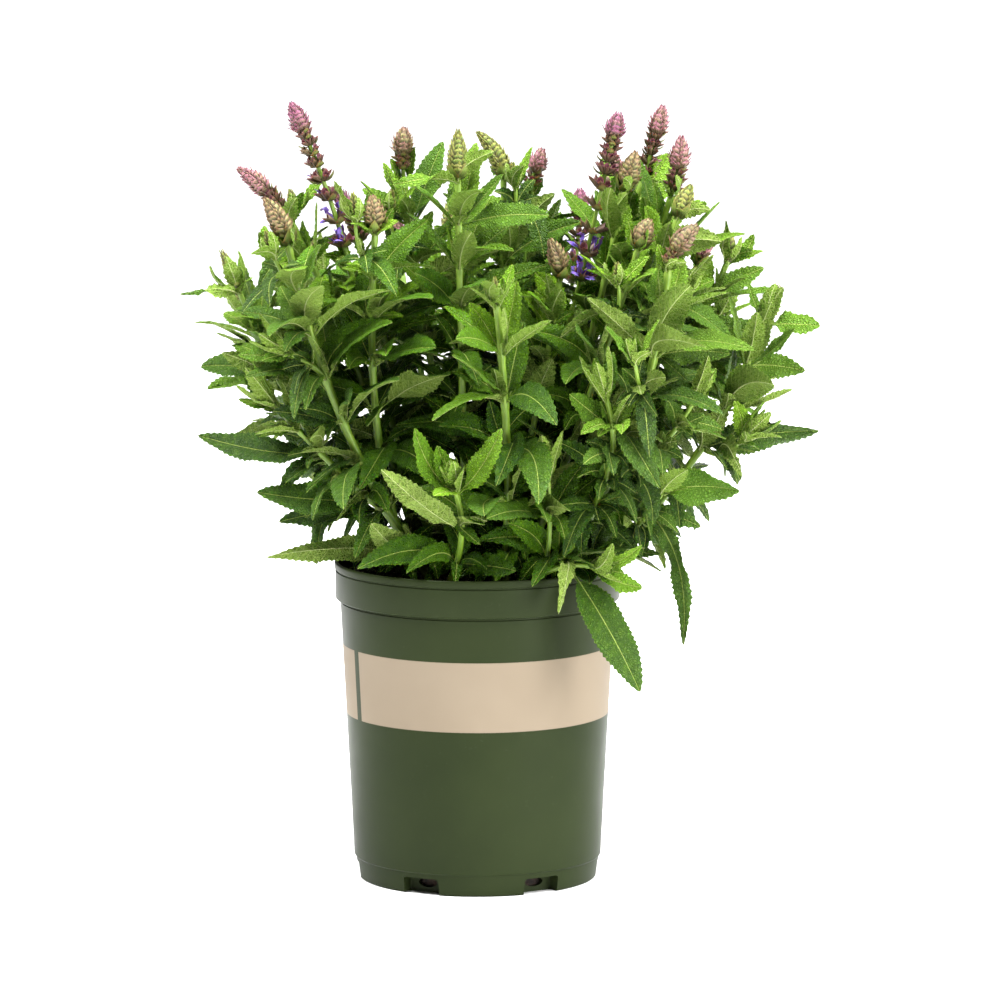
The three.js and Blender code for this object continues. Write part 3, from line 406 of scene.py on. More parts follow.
def stem_of(shoot):
    return (shoot["parent"] or shoot)["name"]


# ---------- growth: leaves ----------

STALK_SHARE = 0.13
STALK_HALF = 1.15
MAIN_SIZES = [(0, 66), (0.45, 64), (0.75, 52), (0.92, 35), (1, 28)]
BRANCH_SIZES = [(0, 38), (0.6, 34), (1, 29)]
FILL_SIZES = [(0, 62), (0.45, 64), (0.75, 62), (0.92, 52), (1, 40)]
SPREAD = [(0, 66), (0.5, 54), (0.85, 42), (1, 33)]
FILL_SPREAD = [(0, 60), (0.5, 50), (0.8, 38), (1, 27)]
SAG = [(0, 0.95), (0.5, 0.6), (0.8, 0.3), (1, 0.1)]
SWINGS = [0, 0.28, -0.28, 0.55, -0.55, 0.8, -0.8]
FILL_SWING = 1.2
LIFTS = [0, 0.3, -0.3, 0.6]
CUTS = [1, 0.94, 0.84, 0.7]
# A leaf up to this size twists and waves only this share as much as a larger one.
CALM_SIZE = 46
CALM = 0.4
TIP_MATCH = 0.05
OWN_SLACK = 1.05
OWN_AGE = 0.8
YOUNG_GROWTH = 1.12
YOUNG_CLOSING = 10
# How leaves grow: what is added to the number of each draw's use, then the ranges of the draws.
# The turn brings upper faces to the front, where the light comes from, in degrees.
RULE_HABIT = {"use": 0, "spread": 9, "sag": (0.5, 1.4), "front_sag": 0, "rise": 0, "turn": 14,
              "half": (0.125, 0.155), "margin": 0.6, "fold": (0.12, 0.4), "roll": 26, "twist": 28,
              "wave": (0.2, 1.1), "age": 1}
FILL_HABIT = {"use": 99, "spread": 8, "sag": (0.5, 1.3), "front_sag": 0.35, "rise": 0.8, "turn": 34,
              "half": (0.13, 0.165), "margin": 1.0, "fold": (0.12, 0.45), "roll": 24, "twist": 24,
              "wave": (0.1, 0.8), "age": 0.9}


def half_width(leaf, t):
    """Half-widths of a blade at the shares t of its length."""
    b = np.clip((t - STALK_SHARE) / (1 - STALK_SHARE), 0, 1)
    swell = leaf["half"] * 2.26 * b ** 0.5 * (1 - b) ** 0.7
    return np.where(t <= STALK_SHARE, STALK_HALF, np.maximum(swell, STALK_HALF * (1 - b)))


def leaf_base(shoot, node, face):
    place = shoot["axis"].at(node["s"] + NODE_HEIGHT / 2)
    out = facing(place, face)
    return place, out, place["p"] + out * half_at(shoot, node["s"])


def grown_leaf(shoot, node, face, item, habit, size, lean, swing, lift, calm=1):
    """A leaf that grows from one face of a node as its habit and its own draws say."""

    def chance(low, high, use):
        return between(low, high, shoot["index"], item, habit["use"] + use)

    place, out, base = leaf_base(shoot, node, face)
    spread = math.radians(lean + chance(-habit["spread"], habit["spread"], 2))
    sag = graded(SAG, node["share"]) * chance(*habit["sag"], 3) - lift + habit["front_sag"] * max(0, -out[1])
    start = place["d"] * math.cos(spread) + out * math.sin(spread)
    sideways = np.cross(place["d"], out)
    toward = unit(start + sideways * (swing + chance(-0.2, 0.2, 4)) - vec(0, 0, sag))
    return {
        "base": base + place["d"] * habit["rise"], "control": base + start * size * BEND_SHARE,
        "tip": base + toward * size * CHORD_SHARE, "sideways": sideways, "size": size,
        "half": size * chance(*habit["half"], 5) + habit["margin"], "fold": chance(*habit["fold"], 6),
        "roll": chance(-habit["roll"], habit["roll"], 7) + habit["turn"] * sideways[1],
        "twist": chance(-habit["twist"], habit["twist"], 8) * calm,
        "wave": chance(*habit["wave"], 9) * calm, "wave_turn": chance(0, 6, 10),
        "age": node["share"] * habit["age"], "tint": chance(0, 1, 11),
    }


def rule_leaf(shoot, node, place_side, attempt):
    share = node["share"]
    item = node["index"] * 2 + place_side
    cut = attempt // len(SWINGS)
    young = shoot["head"]["kind"] == "bud" and share == 1
    size = graded(BRANCH_SIZES if shoot["parent"] else MAIN_SIZES, share)
    size = size * between(0.84, 1.14, shoot["index"], item, 1) * CUTS[cut]
    size *= YOUNG_GROWTH if young else 1
    lean = graded(SPREAD, share) - (YOUNG_CLOSING if young else 0)
    swing = SWINGS[attempt % len(SWINGS)]
    calm = 1 if size > CALM_SIZE else CALM
    return grown_leaf(shoot, node, node["turn"] + 2 * place_side, item, RULE_HABIT, size, lean, swing,
                      LIFTS[cut], calm)


def fill_leaf(shoot, node, face, item, attempt, size, steep):
    lean = graded(FILL_SPREAD, node["share"]) * steep
    swing = SWINGS[attempt % len(SWINGS)] * FILL_SWING
    lift = LIFTS[attempt // len(SWINGS) % len(LIFTS)]
    return grown_leaf(shoot, node, face % 4, item, FILL_HABIT, size, lean, swing, lift)


def own_leaf(shoot, node, face, tip, half, roll, item):
    place, out, base = leaf_base(shoot, node, face)
    size = length(tip - base) * OWN_SLACK
    start = unit(out * 0.75 + place["d"] * 0.45 + unit(tip - base) * 0.6)
    return {
        "base": base, "control": base + start * size * BEND_SHARE, "tip": tip,
        "sideways": np.cross(place["d"], out), "size": size, "half": half, "fold": 0.22,
        "roll": roll, "twist": 8, "wave": 1.1, "wave_turn": between(0, 6, shoot["index"], item, 30),
        "age": node["share"] * OWN_AGE, "tint": draw(shoot["index"], item, 31),
    }


def packed_points(node_name):
    mesh = frame["nodes"][node_name].data
    points = np.zeros(len(mesh.vertices) * 3)
    mesh.vertices.foreach_get("co", points)
    return points.reshape(-1, 3) / MM


def grow_leaves():
    """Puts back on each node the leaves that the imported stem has, found by their tips."""
    for item, (name, height, tip, half, roll) in enumerate(OWN_LEAVES):
        shoot = next(one for one in shoots if one["name"] == name)
        node = nearest_node(shoot, height)
        free = [node["turn"] + 2 * k for k in (0, 1) if node["leaves"][k] is None]
        face = best_face(shoot["axis"].at(node["s"]), free, vec(*tip))
        node["leaves"][face // 2] = own_leaf(shoot, node, face, vec(*tip), half, roll, item)
    for shoot in shoots:
        corners = packed_points(f"stem_{stem_of(shoot)}")
        for node in shoot["nodes"]:
            for k in (0, 1):
                for attempt in range(len(SWINGS) * len(LIFTS)):
                    if node["leaves"][k] is None:
                        leaf = rule_leaf(shoot, node, k, attempt)
                        if np.abs(corners - leaf["tip"]).max(1).min() < TIP_MATCH:
                            node["leaves"][k] = leaf


# ---------- blades: leaves, bracts and petals bent along a curve ----------

# The share of its length in which a blade takes on its roll.
ROLL_SHARE = 0.45
# Points of a template that are closer than this become one.
SAME_PLACE = 1e-4


def blade_frames(blade, t):
    """Points, width directions and upper normals of a blade's midrib at the shares t."""
    ends = (blade["base"], blade["control"], blade["tip"])
    u = t[:, None]
    d = pull(ends, u)
    d /= np.linalg.norm(d, axis=1)[:, None]
    flat = blade["sideways"] - d * (d @ blade["sideways"])[:, None]
    flat /= np.linalg.norm(flat, axis=1)[:, None]
    ease = np.clip(t / ROLL_SHARE, 0, 1)
    roll = np.radians(blade["roll"]) * ease * ease * (3 - 2 * ease) + np.radians(blade["twist"]) * t
    w = flat * np.cos(roll)[:, None] + np.cross(d, flat) * np.sin(roll)[:, None]
    return bend(ends, u), w, np.cross(d, w)


def laid_out(frames, side, height):
    """Points at distances to the side of a midrib and above it."""
    p, w, n = frames
    return p + w * side[:, None] + n * height[:, None]


def deselect_all():
    for obj in bpy.context.view_layer.objects:
        obj.select_set(False)


def select_only(obj):
    deselect_all()
    obj.select_set(True)
    bpy.context.view_layer.objects.active = obj


def start_editing():
    bpy.ops.object.mode_set(mode="EDIT")
    bpy.ops.mesh.select_all(action="SELECT")


def stop_editing():
    bpy.ops.object.mode_set(mode="OBJECT")


def read_template(obj):
    """The points and faces of a finished template, which is then removed."""
    mesh = obj.data
    points = np.zeros(len(mesh.vertices) * 3)
    mesh.vertices.foreach_get("co", points)
    faces = [tuple(face.vertices) for face in mesh.polygons]
    bpy.data.objects.remove(obj)
    return points.reshape(-1, 3), faces


# Past this place on a grid from -1 to 1, a point is on the grid's edge.
EDGE = 0.999
templates = {}


def blade_template(columns, rows):
    """A closed lens on a grid: each point's row, place across and layer, then its faces."""
    key = ("blade", columns, rows)
    if key not in templates:
        deselect_all()
        bpy.ops.mesh.primitive_grid_add(x_subdivisions=columns, y_subdivisions=rows, size=2)
        obj = bpy.context.object
        start_editing()
        bpy.ops.mesh.duplicate()
        bpy.ops.mesh.flip_normals()
        bpy.ops.transform.translate(value=(0, 0, -2))
        bpy.ops.mesh.select_all(action="SELECT")
        bpy.ops.transform.translate(value=(0, 0, 1))
        stop_editing()
        for vertex in obj.data.vertices:
            if max(abs(vertex.co.x), abs(vertex.co.y)) > EDGE:
                vertex.co.z = 0
        start_editing()
        bpy.ops.mesh.remove_doubles(threshold=SAME_PLACE)
        stop_editing()
        points, faces = read_template(obj)
        row = np.rint((points[:, 1] + 1) / 2 * rows).astype(int)
        templates[key] = (row, points[:, 0], points[:, 2], faces)
    return templates[key]


def tube_template(sides, rings):
    """An upright closed tube: each point's ring and angle, then its faces."""
    key = ("tube", sides, rings)
    if key not in templates:
        deselect_all()
        bpy.ops.mesh.primitive_circle_add(vertices=sides, radius=1, fill_type="NGON")
        obj = bpy.context.object
        start_editing()
        for _ in range(rings):
            bpy.ops.mesh.extrude_region_move(TRANSFORM_OT_translate={"value": (0, 0, 1)})
        bpy.ops.mesh.select_all(action="SELECT")
        bpy.ops.mesh.normals_make_consistent(inside=False)
        stop_editing()
        points, faces = read_template(obj)
        templates[key] = (np.rint(points[:, 2]).astype(int), np.arctan2(points[:, 1], points[:, 0]), faces)
    return templates[key]


class Skin:
    """Collects closed shells, in millimetres, for one piece."""

    DOMAINS = {"age": "POINT", "tint": "POINT", "span": "POINT", "under": "FACE"}

    def __init__(self):
        self.points, self.faces, self.uvs, self.materials = [], [], [], []
        self.values = {key: [] for key in self.DOMAINS}
        self.count = 0

    def add(self, points, faces, uv, material, age=0.5, tint=0.5, span=0.0, under=0.0):
        self.points.append(points)
        self.faces.extend(tuple(i + self.count for i in face) for face in faces)
        self.uvs.append(uv)
        self.materials.extend([material] * len(faces))
        for key, value in (("age", age), ("tint", tint), ("span", span), ("under", under)):
            wanted = len(points) if self.DOMAINS[key] == "POINT" else len(faces)
            self.values[key].append(np.broadcast_to(value, wanted))
        self.count += len(points)

    def build(self, name, materials, smooth_angle):
        mesh = bpy.data.meshes.new(name)
        mesh.from_pydata((np.concatenate(self.points) * MM).tolist(), [], self.faces)
        for material in materials:
            mesh.materials.append(material)
        mesh.polygons.foreach_set("material_index", self.materials)
        corners = np.zeros(len(mesh.loops), np.int32)
        mesh.loops.foreach_get("vertex_index", corners)
        uv = np.concatenate(self.uvs)[corners]
        mesh.uv_layers.new(name="UVMap").data.foreach_set("uv", uv.ravel())
        for key, domain in self.DOMAINS.items():
            values = np.concatenate(self.values[key]).astype(np.float32)
            mesh.attributes.new(key, "FLOAT", domain).data.foreach_set("value", values)
        mesh.validate()
        obj = bpy.data.objects.new(name, mesh)
        bpy.context.scene.collection.objects.link(obj)
        select_only(obj)
        bpy.ops.object.shade_smooth_by_angle(angle=math.radians(smooth_angle))
        obj.select_set(False)
        return obj


# ---------- leaves in full ----------

TOOTH_PITCH = 3.1
TOOTH_DEPTH = 1.0
TOOTH_PLACE = 0.62
TOOTH_RISE = 0.6
NOTCH_FALL = -0.4
FEWEST_TEETH = 4
MOST_TEETH = 24
STALK_ROWS = 3
STALK_START = -0.03
# The longest leaf that is drawn with each number of columns.
LEAF_COLUMNS = ((26, 2), (42, 4), (math.inf, 6))
WAVE_SHOWN = 1.6
PUCKER = 0.55
RIPPLE = 0.45
VEIN_PITCH = 4.6
VEIN_LEAN = 0.75
UV_SCALE = 0.01
# Where each material stands in a leafy piece's list.
LEAF, STEM, KNOB = range(3)


def leaf_rows(teeth):
    """Shares of the length at which a leaf has rows: the stalk, then a tip and a notch per tooth."""
    blade = 1 - STALK_SHARE
    shares = list(np.linspace(STALK_START, STALK_SHARE, STALK_ROWS, endpoint=False)) + [STALK_SHARE]
    for i in range(teeth):
        shares += [STALK_SHARE + blade * (i + TOOTH_PLACE) / teeth, STALK_SHARE + blade * (i + 1) / teeth]
    return np.array(shares)


def add_leaf(skin, leaf):
    """One toothed, ribbed and puckered leaf, closed all round."""
    size, wave_turn = leaf["size"], leaf["wave_turn"]
    teeth = int(np.clip(round(size * (1 - STALK_SHARE) / TOOTH_PITCH), FEWEST_TEETH, MOST_TEETH))
    t = leaf_rows(teeth)
    last = len(t) - 1
    columns = next(count for longest, count in LEAF_COLUMNS if size <= longest)
    row, x, layer, faces = blade_template(columns, last)
    across = -x
    half = half_width(leaf, t)
    blade = np.clip((t - STALK_SHARE * 0.8) / 0.12, 0, 1)
    firm = np.clip(half / 4, 0, 1) * blade
    notch = np.where(np.arange(last + 1) >= STALK_ROWS, NOTCH_FALL, 0.0)
    notch[STALK_ROWS + 1::2] = TOOTH_RISE
    notch[last] = 0
    notch = notch * TOOTH_DEPTH * firm
    edge = np.sign(across) * (np.abs(across) > EDGE)
    side = across * half[row] + edge * notch[row]
    s = t * size
    reach = np.clip(np.abs(side) / leaf["half"], 0, 1.2)
    ripple = WAVE_SHOWN * leaf["wave"] * np.sin(wave_turn + 13 * t[row] + across)
    ripple = ripple + RIPPLE * np.sin(wave_turn * 3 + s[row] * 0.55 + 2 * (across > 0))
    lift = leaf["fold"] * np.abs(side) * blade[row] * (1.15 - 0.6 * reach) + ripple * reach ** 2 * firm[row]
    phase = (s[row] - VEIN_LEAN * np.abs(side)) / VEIN_PITCH + 0.5 * (across > 0)
    pucker = PUCKER * np.abs(np.sin(np.pi * phase)) * firm[row]
    pucker = pucker * (np.abs(across) > 0.1) * (np.abs(across) < 0.9)
    stalk_thick = 0.85 * np.sqrt(np.clip(1 - across ** 2, 0.02, 1))
    rib = 0.7 * (1 - 0.8 * t[row]) * np.exp(-(side / 0.9) ** 2)
    under_thick = mix(stalk_thick, 0.25 + rib, blade[row])
    upper_thick = mix(stalk_thick * 0.7, 0.2 - 0.12 * np.exp(-(side / 0.8) ** 2), blade[row])
    thick = np.where(layer > 0, upper_thick, -under_thick) * (layer != 0)
    frames = [part[row] for part in blade_frames(leaf, t)]
    out = laid_out(frames, side, lift + pucker + thick)
    uv = np.stack([side, s[row]], 1) * UV_SCALE
    height = np.array([sum(layer[i] for i in face) for face in faces])
    skin.add(out, faces, uv, LEAF, leaf["age"], leaf["tint"], t[row], (height < 0).astype(float))


# ---------- stems in full ----------

STEM_SIDES = 12
MAIN_RINGS = 54
BRANCH_RINGS = 24
NODE_RINGS = (-2.6, -1, 1, 2.6)
BRANCH_DEPTH = 1.2
MAIN_STEM_AGE = 0.75


def add_tube(skin, stations, radius_at, place_at, material, age_at, tint):
    """A tube through stations along an axis, with its radius a function of distance and angle."""
    row, angle, faces = tube_template(STEM_SIDES, len(stations) - 1)
    places = [place_at(s) for s in stations]
    p, e1, e2 = (np.array([place[key] for place in places])[row] for key in ("p", "e1", "e2"))
    s = np.array(stations)[row]
    radius = radius_at(s, angle)
    out = p + e1 * (radius * np.cos(angle))[:, None] + e2 * (radius * np.sin(angle))[:, None]
    uv = np.stack([angle / (2 * np.pi) * 16, s], 1) * UV_SCALE
    skin.add(out, faces, uv, material, age_at(s), tint)


def add_stem(skin, shoot):
    axis = shoot["axis"]
    is_branch = shoot["parent"] is not None
    wanted = [node["s"] + shift for node in shoot["nodes"] for shift in NODE_RINGS]
    spare = max(4, (BRANCH_RINGS if is_branch else MAIN_RINGS) - len(wanted))
    start = -BRANCH_DEPTH if is_branch else -ROOT_DEPTH
    stations = sorted(wanted + list(np.linspace(start, axis.length + 0.5, spare)))
    nodes = np.array([node["s"] for node in shoot["nodes"]])

    def radius_at(s, angle):
        swell = 0.2 * np.exp(-(np.abs(s[:, None] - nodes[None, :]).min(1) / 1.9) ** 2)
        foot = 0.14 * np.exp(-np.clip(s + 2, 0, None) / 5)
        squared = 1.06 - 0.13 * np.cos(4 * angle)
        return half_at(shoot, np.clip(s, 0, axis.length)) * squared * (1 + swell + foot)

    def age_at(s):
        return np.clip(s / axis.length, 0, 1) * (1 if is_branch else MAIN_STEM_AGE)

    def place_at(s):
        place = dict(axis.at(max(s, 0)))
        if s < 0:
            place["p"] = place["p"] + (place["d"] if is_branch else vec(0, 0, 1)) * s
        return place

    add_tube(skin, stations, radius_at, place_at, STEM, age_at, draw(shoot["index"], 0, 50))


# ---------- heads in full ----------

RACHIS = 1.15
SCALE_PITCH = 1.5
SCALE_GRID = (4, 4)
TIP_GRID = (2, 3)
PETAL_COLUMNS = 2
PETAL_ROWS = 4
LONGEST_SCALE = 4.6
# How each kind of head looks: its bracts' flare, its slimness and the share of the cone that is
# still closed; below that share the bracts have parted into close whorls.
FLARE = {"green": 0.4, "blush": 0.8, "mauve": 0.9, "pink": 1.0, "violet": 1.1}
SLIM = {"green": 0.86, "blush": 0.86, "mauve": 0.84, "pink": 0.76, "violet": 0.74}
CLOSED = {"green": 0.92, "blush": 0.78, "mauve": 0.72, "pink": 0.66, "violet": 0.66}
KNOB_SLIM = 0.86
KNOB_FLARE = 0.1
LONGEST_KNOB_LEAF = 21
LONGEST_TIP_LEAF = 30
TIP_LEAVES = 6
WHORL_CALYCES = 6
MISSING_SHARE = 0.2
FLOWERING_SHARE = 0.65
BUDDING_SHARE = 0.4
CLOSE_GAP = 3.6
LOWEST_GAP = 14.0
BLOOM_GROWTH = 1.26
BUD_GROWTH = 1.16
MAUVE_HEADS = ("right_front", "centre_pink")
OPEN_SHARE = 0.38
FRESH_SHARE = 0.5
# Where each material stands in a flower spike's list.
CONE, CALYX, COROLLA, SPIKE_STEM, COLLAR, BRACT = range(6)
CALYX_REACH = (0, 0.34, 0.92, 0.78, 0.4)
CALYX_GIRTH = (0.35, 0.9, 1.16, 0.92, 0.25)
CALYX_LEAN = (0, 0.1, 1.0, 0.5, 0)
CALYX_TEETH = (0.14, 0.02, -0.16, 0.26, 0.02, 0.26, -0.16, 0.02)
# The petals of a flower: the three points of each one's path, as shares of the flower's size
# ahead, up and aside, then its half-width, cup, age and bluntness.
FLOWER = [
    (((0, 0, 0), (0.4, 0.1, 0), (0.62, 0.55, 0)), 0.26, -0.8, 0.9, 0.7),
    (((0.62, 0.3, 0), (0.72, 0.75, 0), (0.96, 0.35, 0)), 0.23, -0.9, 1.0, 0.8),
    (((0, 0, 0), (0.6, 0, 0), (0.82, -0.36, 0)), 0.34, 0.5, 0.6, 1.5),
    (((0, 0, 0), (0.4, 0, 0), (0.6, -0.14, -0.3)), 0.19, 0.3, 0.5, 1.3),
    (((0, 0, 0), (0.4, 0, 0), (0.6, -0.14, 0.3)), 0.19, 0.3, 0.5, 1.3),
]


def add_petal(skin, path, sideways, half, cup, material, age, tint, blunt=0.9):
    """A small cupped petal or bract, closed and pointed, bent along the three points of its path."""
    blade = {"base": path[0], "control": path[1], "tip": path[2], "sideways": sideways, "roll": 0,
             "twist": 0}
    row, x, layer, faces = blade_template(PETAL_COLUMNS, PETAL_ROWS)
    across = -x
    t = np.linspace(0, 1, PETAL_ROWS + 1)
    width = half * np.maximum(np.sin(np.pi * (0.12 + 0.88 * t) ** blunt) ** 0.75, 0.05)
    lift = cup * across ** 2 * width[row] + layer * 0.16
    frames = [part[row] for part in blade_frames(blade, t)]
    uv = np.stack([across, t[row]], 1)
    skin.add(laid_out(frames, across * width[row], lift), faces, uv, material, age, tint, t[row])


def add_scale(skin, axis, shell, start, angle, tall, spread, flare, material, age, tint, grid):
    """A broad pointed bract that lies on a head's shell and lifts at its tip."""
    columns, rows = grid
    row, across, layer, faces = blade_template(columns, rows)
    t = np.linspace(0, 1, rows + 1)
    width = np.maximum((1 - t) ** 0.75 * (1 + 1.1 * t), 0.03)
    places = [axis.at(start + tall * share) for share in t]
    centre, e1, e2 = (np.array([place[key] for place in places])[row] for key in ("p", "e1", "e2"))
    turn = angle + across * width[row] * spread
    away = np.array([shell(start + tall * share) for share in t])[row]
    off = 0.25 - 0.6 * (1 - t[row]) ** 2 + flare * t[row] ** 2 - 0.45 * across ** 2
    away = np.maximum(away + off + 0.13 * layer, 0.12 + 0.1 * layer)
    out = centre + (e1 * np.cos(turn)[:, None] + e2 * np.sin(turn)[:, None]) * away[:, None]
    skin.add(out, faces, np.stack([across, t[row]], 1), material, age, tint, t[row])


def add_cone(skin, axis, start, end, half, material, seed, ragged, slim):
    """A closed head: crossed pairs of broad bracts, and the points of three calyces over each."""
    levels = max(6, round((end - start) / SCALE_PITCH))

    def shell(s):
        t = min(1.0, max(0.0, (s - start) / (end - start)))
        foot = 1 - 0.3 * (1 - min(1.0, t / 0.22)) ** 2
        return half * slim * foot * (1 - max(0.0, (t - 0.2) / 0.8) ** 2.1)

    def core(s, _angle):
        return np.array([max(0.2, shell(float(one)) * 0.84 - 0.3) for one in s])

    add_tube(skin, list(np.linspace(start - 0.5, end - 1.2, 9)), core, axis.at, material,
             lambda s: 0 * s, 0.5)
    for level in range(levels):
        share = level / levels
        s = start - 0.6 + (end - start - 2) * share
        quarter = math.radians(90 * (level % 2))
        for k in range(2):
            item = level * 2 + k
            angle = math.pi * k + quarter + between(-0.12, 0.12, seed, item, 60)
            tall = min(LONGEST_SCALE, (end - start) * 0.32) * between(0.9, 1.1, seed, item, 61)
            tall = min(tall, end - 0.35 - s)
            flare = between(0.35, 0.75, seed, item, 62)
            flare += ragged * (1 - share) * between(0.3, 0.9, seed, item, 64)
            tint = draw(seed, item, 63)
            add_scale(skin, axis, shell, s, angle, tall, 0.84, flare, material, share, tint, SCALE_GRID)
        if ragged > 0.3 and share < 0.9:
            for k in range(6):
                item = level * 6 + k
                angle = math.pi * (k // 3) + quarter + 0.66 * (k % 3 - 1)
                angle += between(-0.16, 0.16, seed, item, 65)
                tall = min(LONGEST_SCALE * between(0.8, 1.2, seed, item, 66), end - 0.8 - s)
                flare = 0.5 + ragged * between(0.2, 2.3, seed, item, 67) * (1.2 - share)
                tint = between(0.45, 1, seed, item, 68)
                add_scale(skin, axis, shell, s + 0.8, angle, tall, 0.24, flare, material, share, tint,
                          TIP_GRID)


def add_calyx(skin, base, toward, up, long, wide, material, tint):
    """A ribbed bell with a toothed two-lipped mouth, hollow at its end."""
    row, angle, faces = tube_template(len(CALYX_TEETH), len(CALYX_REACH) - 1)
    tooth = np.array(CALYX_TEETH)[np.rint(angle / (math.pi / 4)).astype(int) % len(CALYX_TEETH)]
    reach = (np.array(CALYX_REACH)[row] + tooth * np.array(CALYX_LEAN)[row]) * long
    girth = np.array(CALYX_GIRTH)[row] * wide
    aside = np.cross(toward, up)
    ring = up * (girth * np.cos(angle))[:, None] + aside * (girth * np.sin(angle))[:, None]
    uv = np.stack([angle / np.pi, row / 3], 1)
    skin.add(base + toward * reach[:, None] + ring, faces, uv, material, row / 4, tint, row / 4)


def add_flower(skin, base, toward, up, size, tint):
    """A two-lipped flower: an arched hood over a lobed lower lip."""
    aside = np.cross(toward, up)
    for path, half, cup, age, blunt in FLOWER:
        points = [base + (toward * ahead + up * rise + aside * off) * size for ahead, rise, off in path]
        add_petal(skin, points, aside, size * half, cup, COROLLA, age, tint, blunt)


def add_whorl(skin, axis, s, reach, stage, seed, calyx):
    """A ring of six calyces on two bracts: closed, with buds in a fresh one, or in flower."""
    place = axis.at(s)
    along = place["d"]
    quarter = round(s * 10) % 2
    for k in range(WHORL_CALYCES):
        item = int(s * 10) * 8 + k
        angle = math.radians(60 * k + 30 + 90 * quarter) + between(-0.2, 0.2, seed, item, 70)
        out = radial(place, angle)
        toward = unit(out + along * between(0.7, 1.4, seed, item, 71))
        up = square_to(along, toward)
        base = place["p"] + out * RACHIS * 0.7
        long = reach * between(0.88, 1.12, seed, item, 72)
        tint = draw(seed, item, 73)
        if draw(seed, item, 78) < MISSING_SHARE:
            continue
        mouth = base + toward * long * 0.5
        add_calyx(skin, base, toward, up, long, long * 0.25, calyx, tint)
        if stage == "open" and draw(seed, item, 74) < FLOWERING_SHARE:
            size = reach * between(1.1, 1.4, seed, item, 75)
            add_flower(skin, mouth, unit(toward + out * 0.5), up, size, tint)
        elif stage != "closed" and draw(seed, item, 76) < BUDDING_SHARE:
            path = (mouth, mouth + toward * long * 0.35, mouth + toward * long * 0.8 + up * 0.6)
            add_petal(skin, path, np.cross(toward, up), 0.9, -0.8, COROLLA, 0.2, tint)
    for k in range(2):
        out = radial(place, math.radians(180 * k + 90 * quarter))
        foot = place["p"] + out * RACHIS * 0.7 - along * 0.8
        path = (foot, foot + out * reach * 0.7 - along * reach * 0.1,
                foot + out * reach * 1.0 + along * reach * 0.6)
        add_petal(skin, path, np.cross(along, out), reach * 0.44, 0.25, BRACT, 0.2, 0.5)


def head_look(shoot):
    return "mauve" if shoot["name"] in MAUVE_HEADS else shoot["head"]["finish"]


def add_spike(skin, shoot):
    head, axis, seed = shoot["head"], shoot["head_axis"], shoot["index"]
    look = head_look(shoot)
    total = axis.length
    cone_start = total * (1 - head["cone"] * CLOSED[look])
    bloom = head["finish"] == "violet" and head["cone"] < 0.5

    def rachis(s, angle):
        return RACHIS * (1.1 - 0.14 * np.cos(4 * angle)) + 0 * s

    add_tube(skin, list(np.linspace(-0.4, cone_start + 1, 12)), rachis, lambda s: axis.at(max(0, s)),
             SPIKE_STEM, lambda s: 0.6 + 0 * s, 0.5)
    s = cone_start - 0.4
    gap = CLOSE_GAP
    while s > 3:
        stage = "open" if s < total * OPEN_SHARE else "fresh" if s < total * FRESH_SHARE else "closed"
        reach = head["half"] * mix(0.84, 1.2, min(1, (gap - CLOSE_GAP) / 8))
        calyx = CALYX if look in ("violet", "pink") else CONE
        add_whorl(skin, axis, s, reach, stage if bloom else "closed", seed, calyx)
        s -= gap
        gap = min(LOWEST_GAP, gap * (BLOOM_GROWTH if bloom else BUD_GROWTH))
    if head["cone"] == 1:
        add_collar(skin, axis, head["half"], seed)
    add_cone(skin, axis, cone_start, total, head["half"], CONE, seed, FLARE[look], SLIM[look])


def add_collar(skin, axis, half, seed):
    """Two crossed pairs of green bracts that hold the foot of a closed head."""
    for k in range(4):
        place = axis.at(0.3 + 0.9 * (k // 2))
        out = radial(place, math.radians(180 * (k % 2) + 90 * (k // 2) + 45))
        foot = place["p"] + out * RACHIS * 0.6
        long = half * between(1.3, 1.7, seed, k, 77)
        path = (foot, foot + out * half * 0.95, foot + out * half * 1.0 + place["d"] * long)
        add_petal(skin, path, np.cross(place["d"], out), half * 0.62, 0.35, COLLAR, 0.2, 0.4)


def add_knob(skin, shoot):
    """A small bud head held between broad upright leaves."""
    axis, seed, half = shoot["head_axis"], shoot["index"], shoot["head"]["half"]
    add_cone(skin, axis, 1.0, axis.length, half * 0.86, KNOB, seed, KNOB_FLARE, KNOB_SLIM)
    for k in range(4):
        place = axis.at(0.5 + 0.6 * (k // 2))
        out = radial(place, math.radians(180 * (k % 2) + 90 * (k // 2)))
        outer = 1 - k // 2
        long = min(axis.length * (0.8 + 0.12 * outer), LONGEST_KNOB_LEAF) * between(0.88, 1.05, seed, k, 84)
        spread = half * (1.5 + 0.8 * outer) * between(0.8, 1.2, seed, k, 85)
        add_leaf(skin, {
            "base": place["p"] + out * 0.7,
            "control": place["p"] + out * spread * 1.1 + place["d"] * long * 0.35,
            "tip": place["p"] + out * spread * (0.5 + 0.4 * outer) + place["d"] * long,
            "sideways": np.cross(place["d"], out), "size": long, "half": long * 0.24, "fold": 0.5,
            "roll": 0, "twist": between(-14, 14, seed, k, 86), "wave": 0.2, "wave_turn": k,
            "age": 0.86, "tint": draw(seed, k, 87),
        })


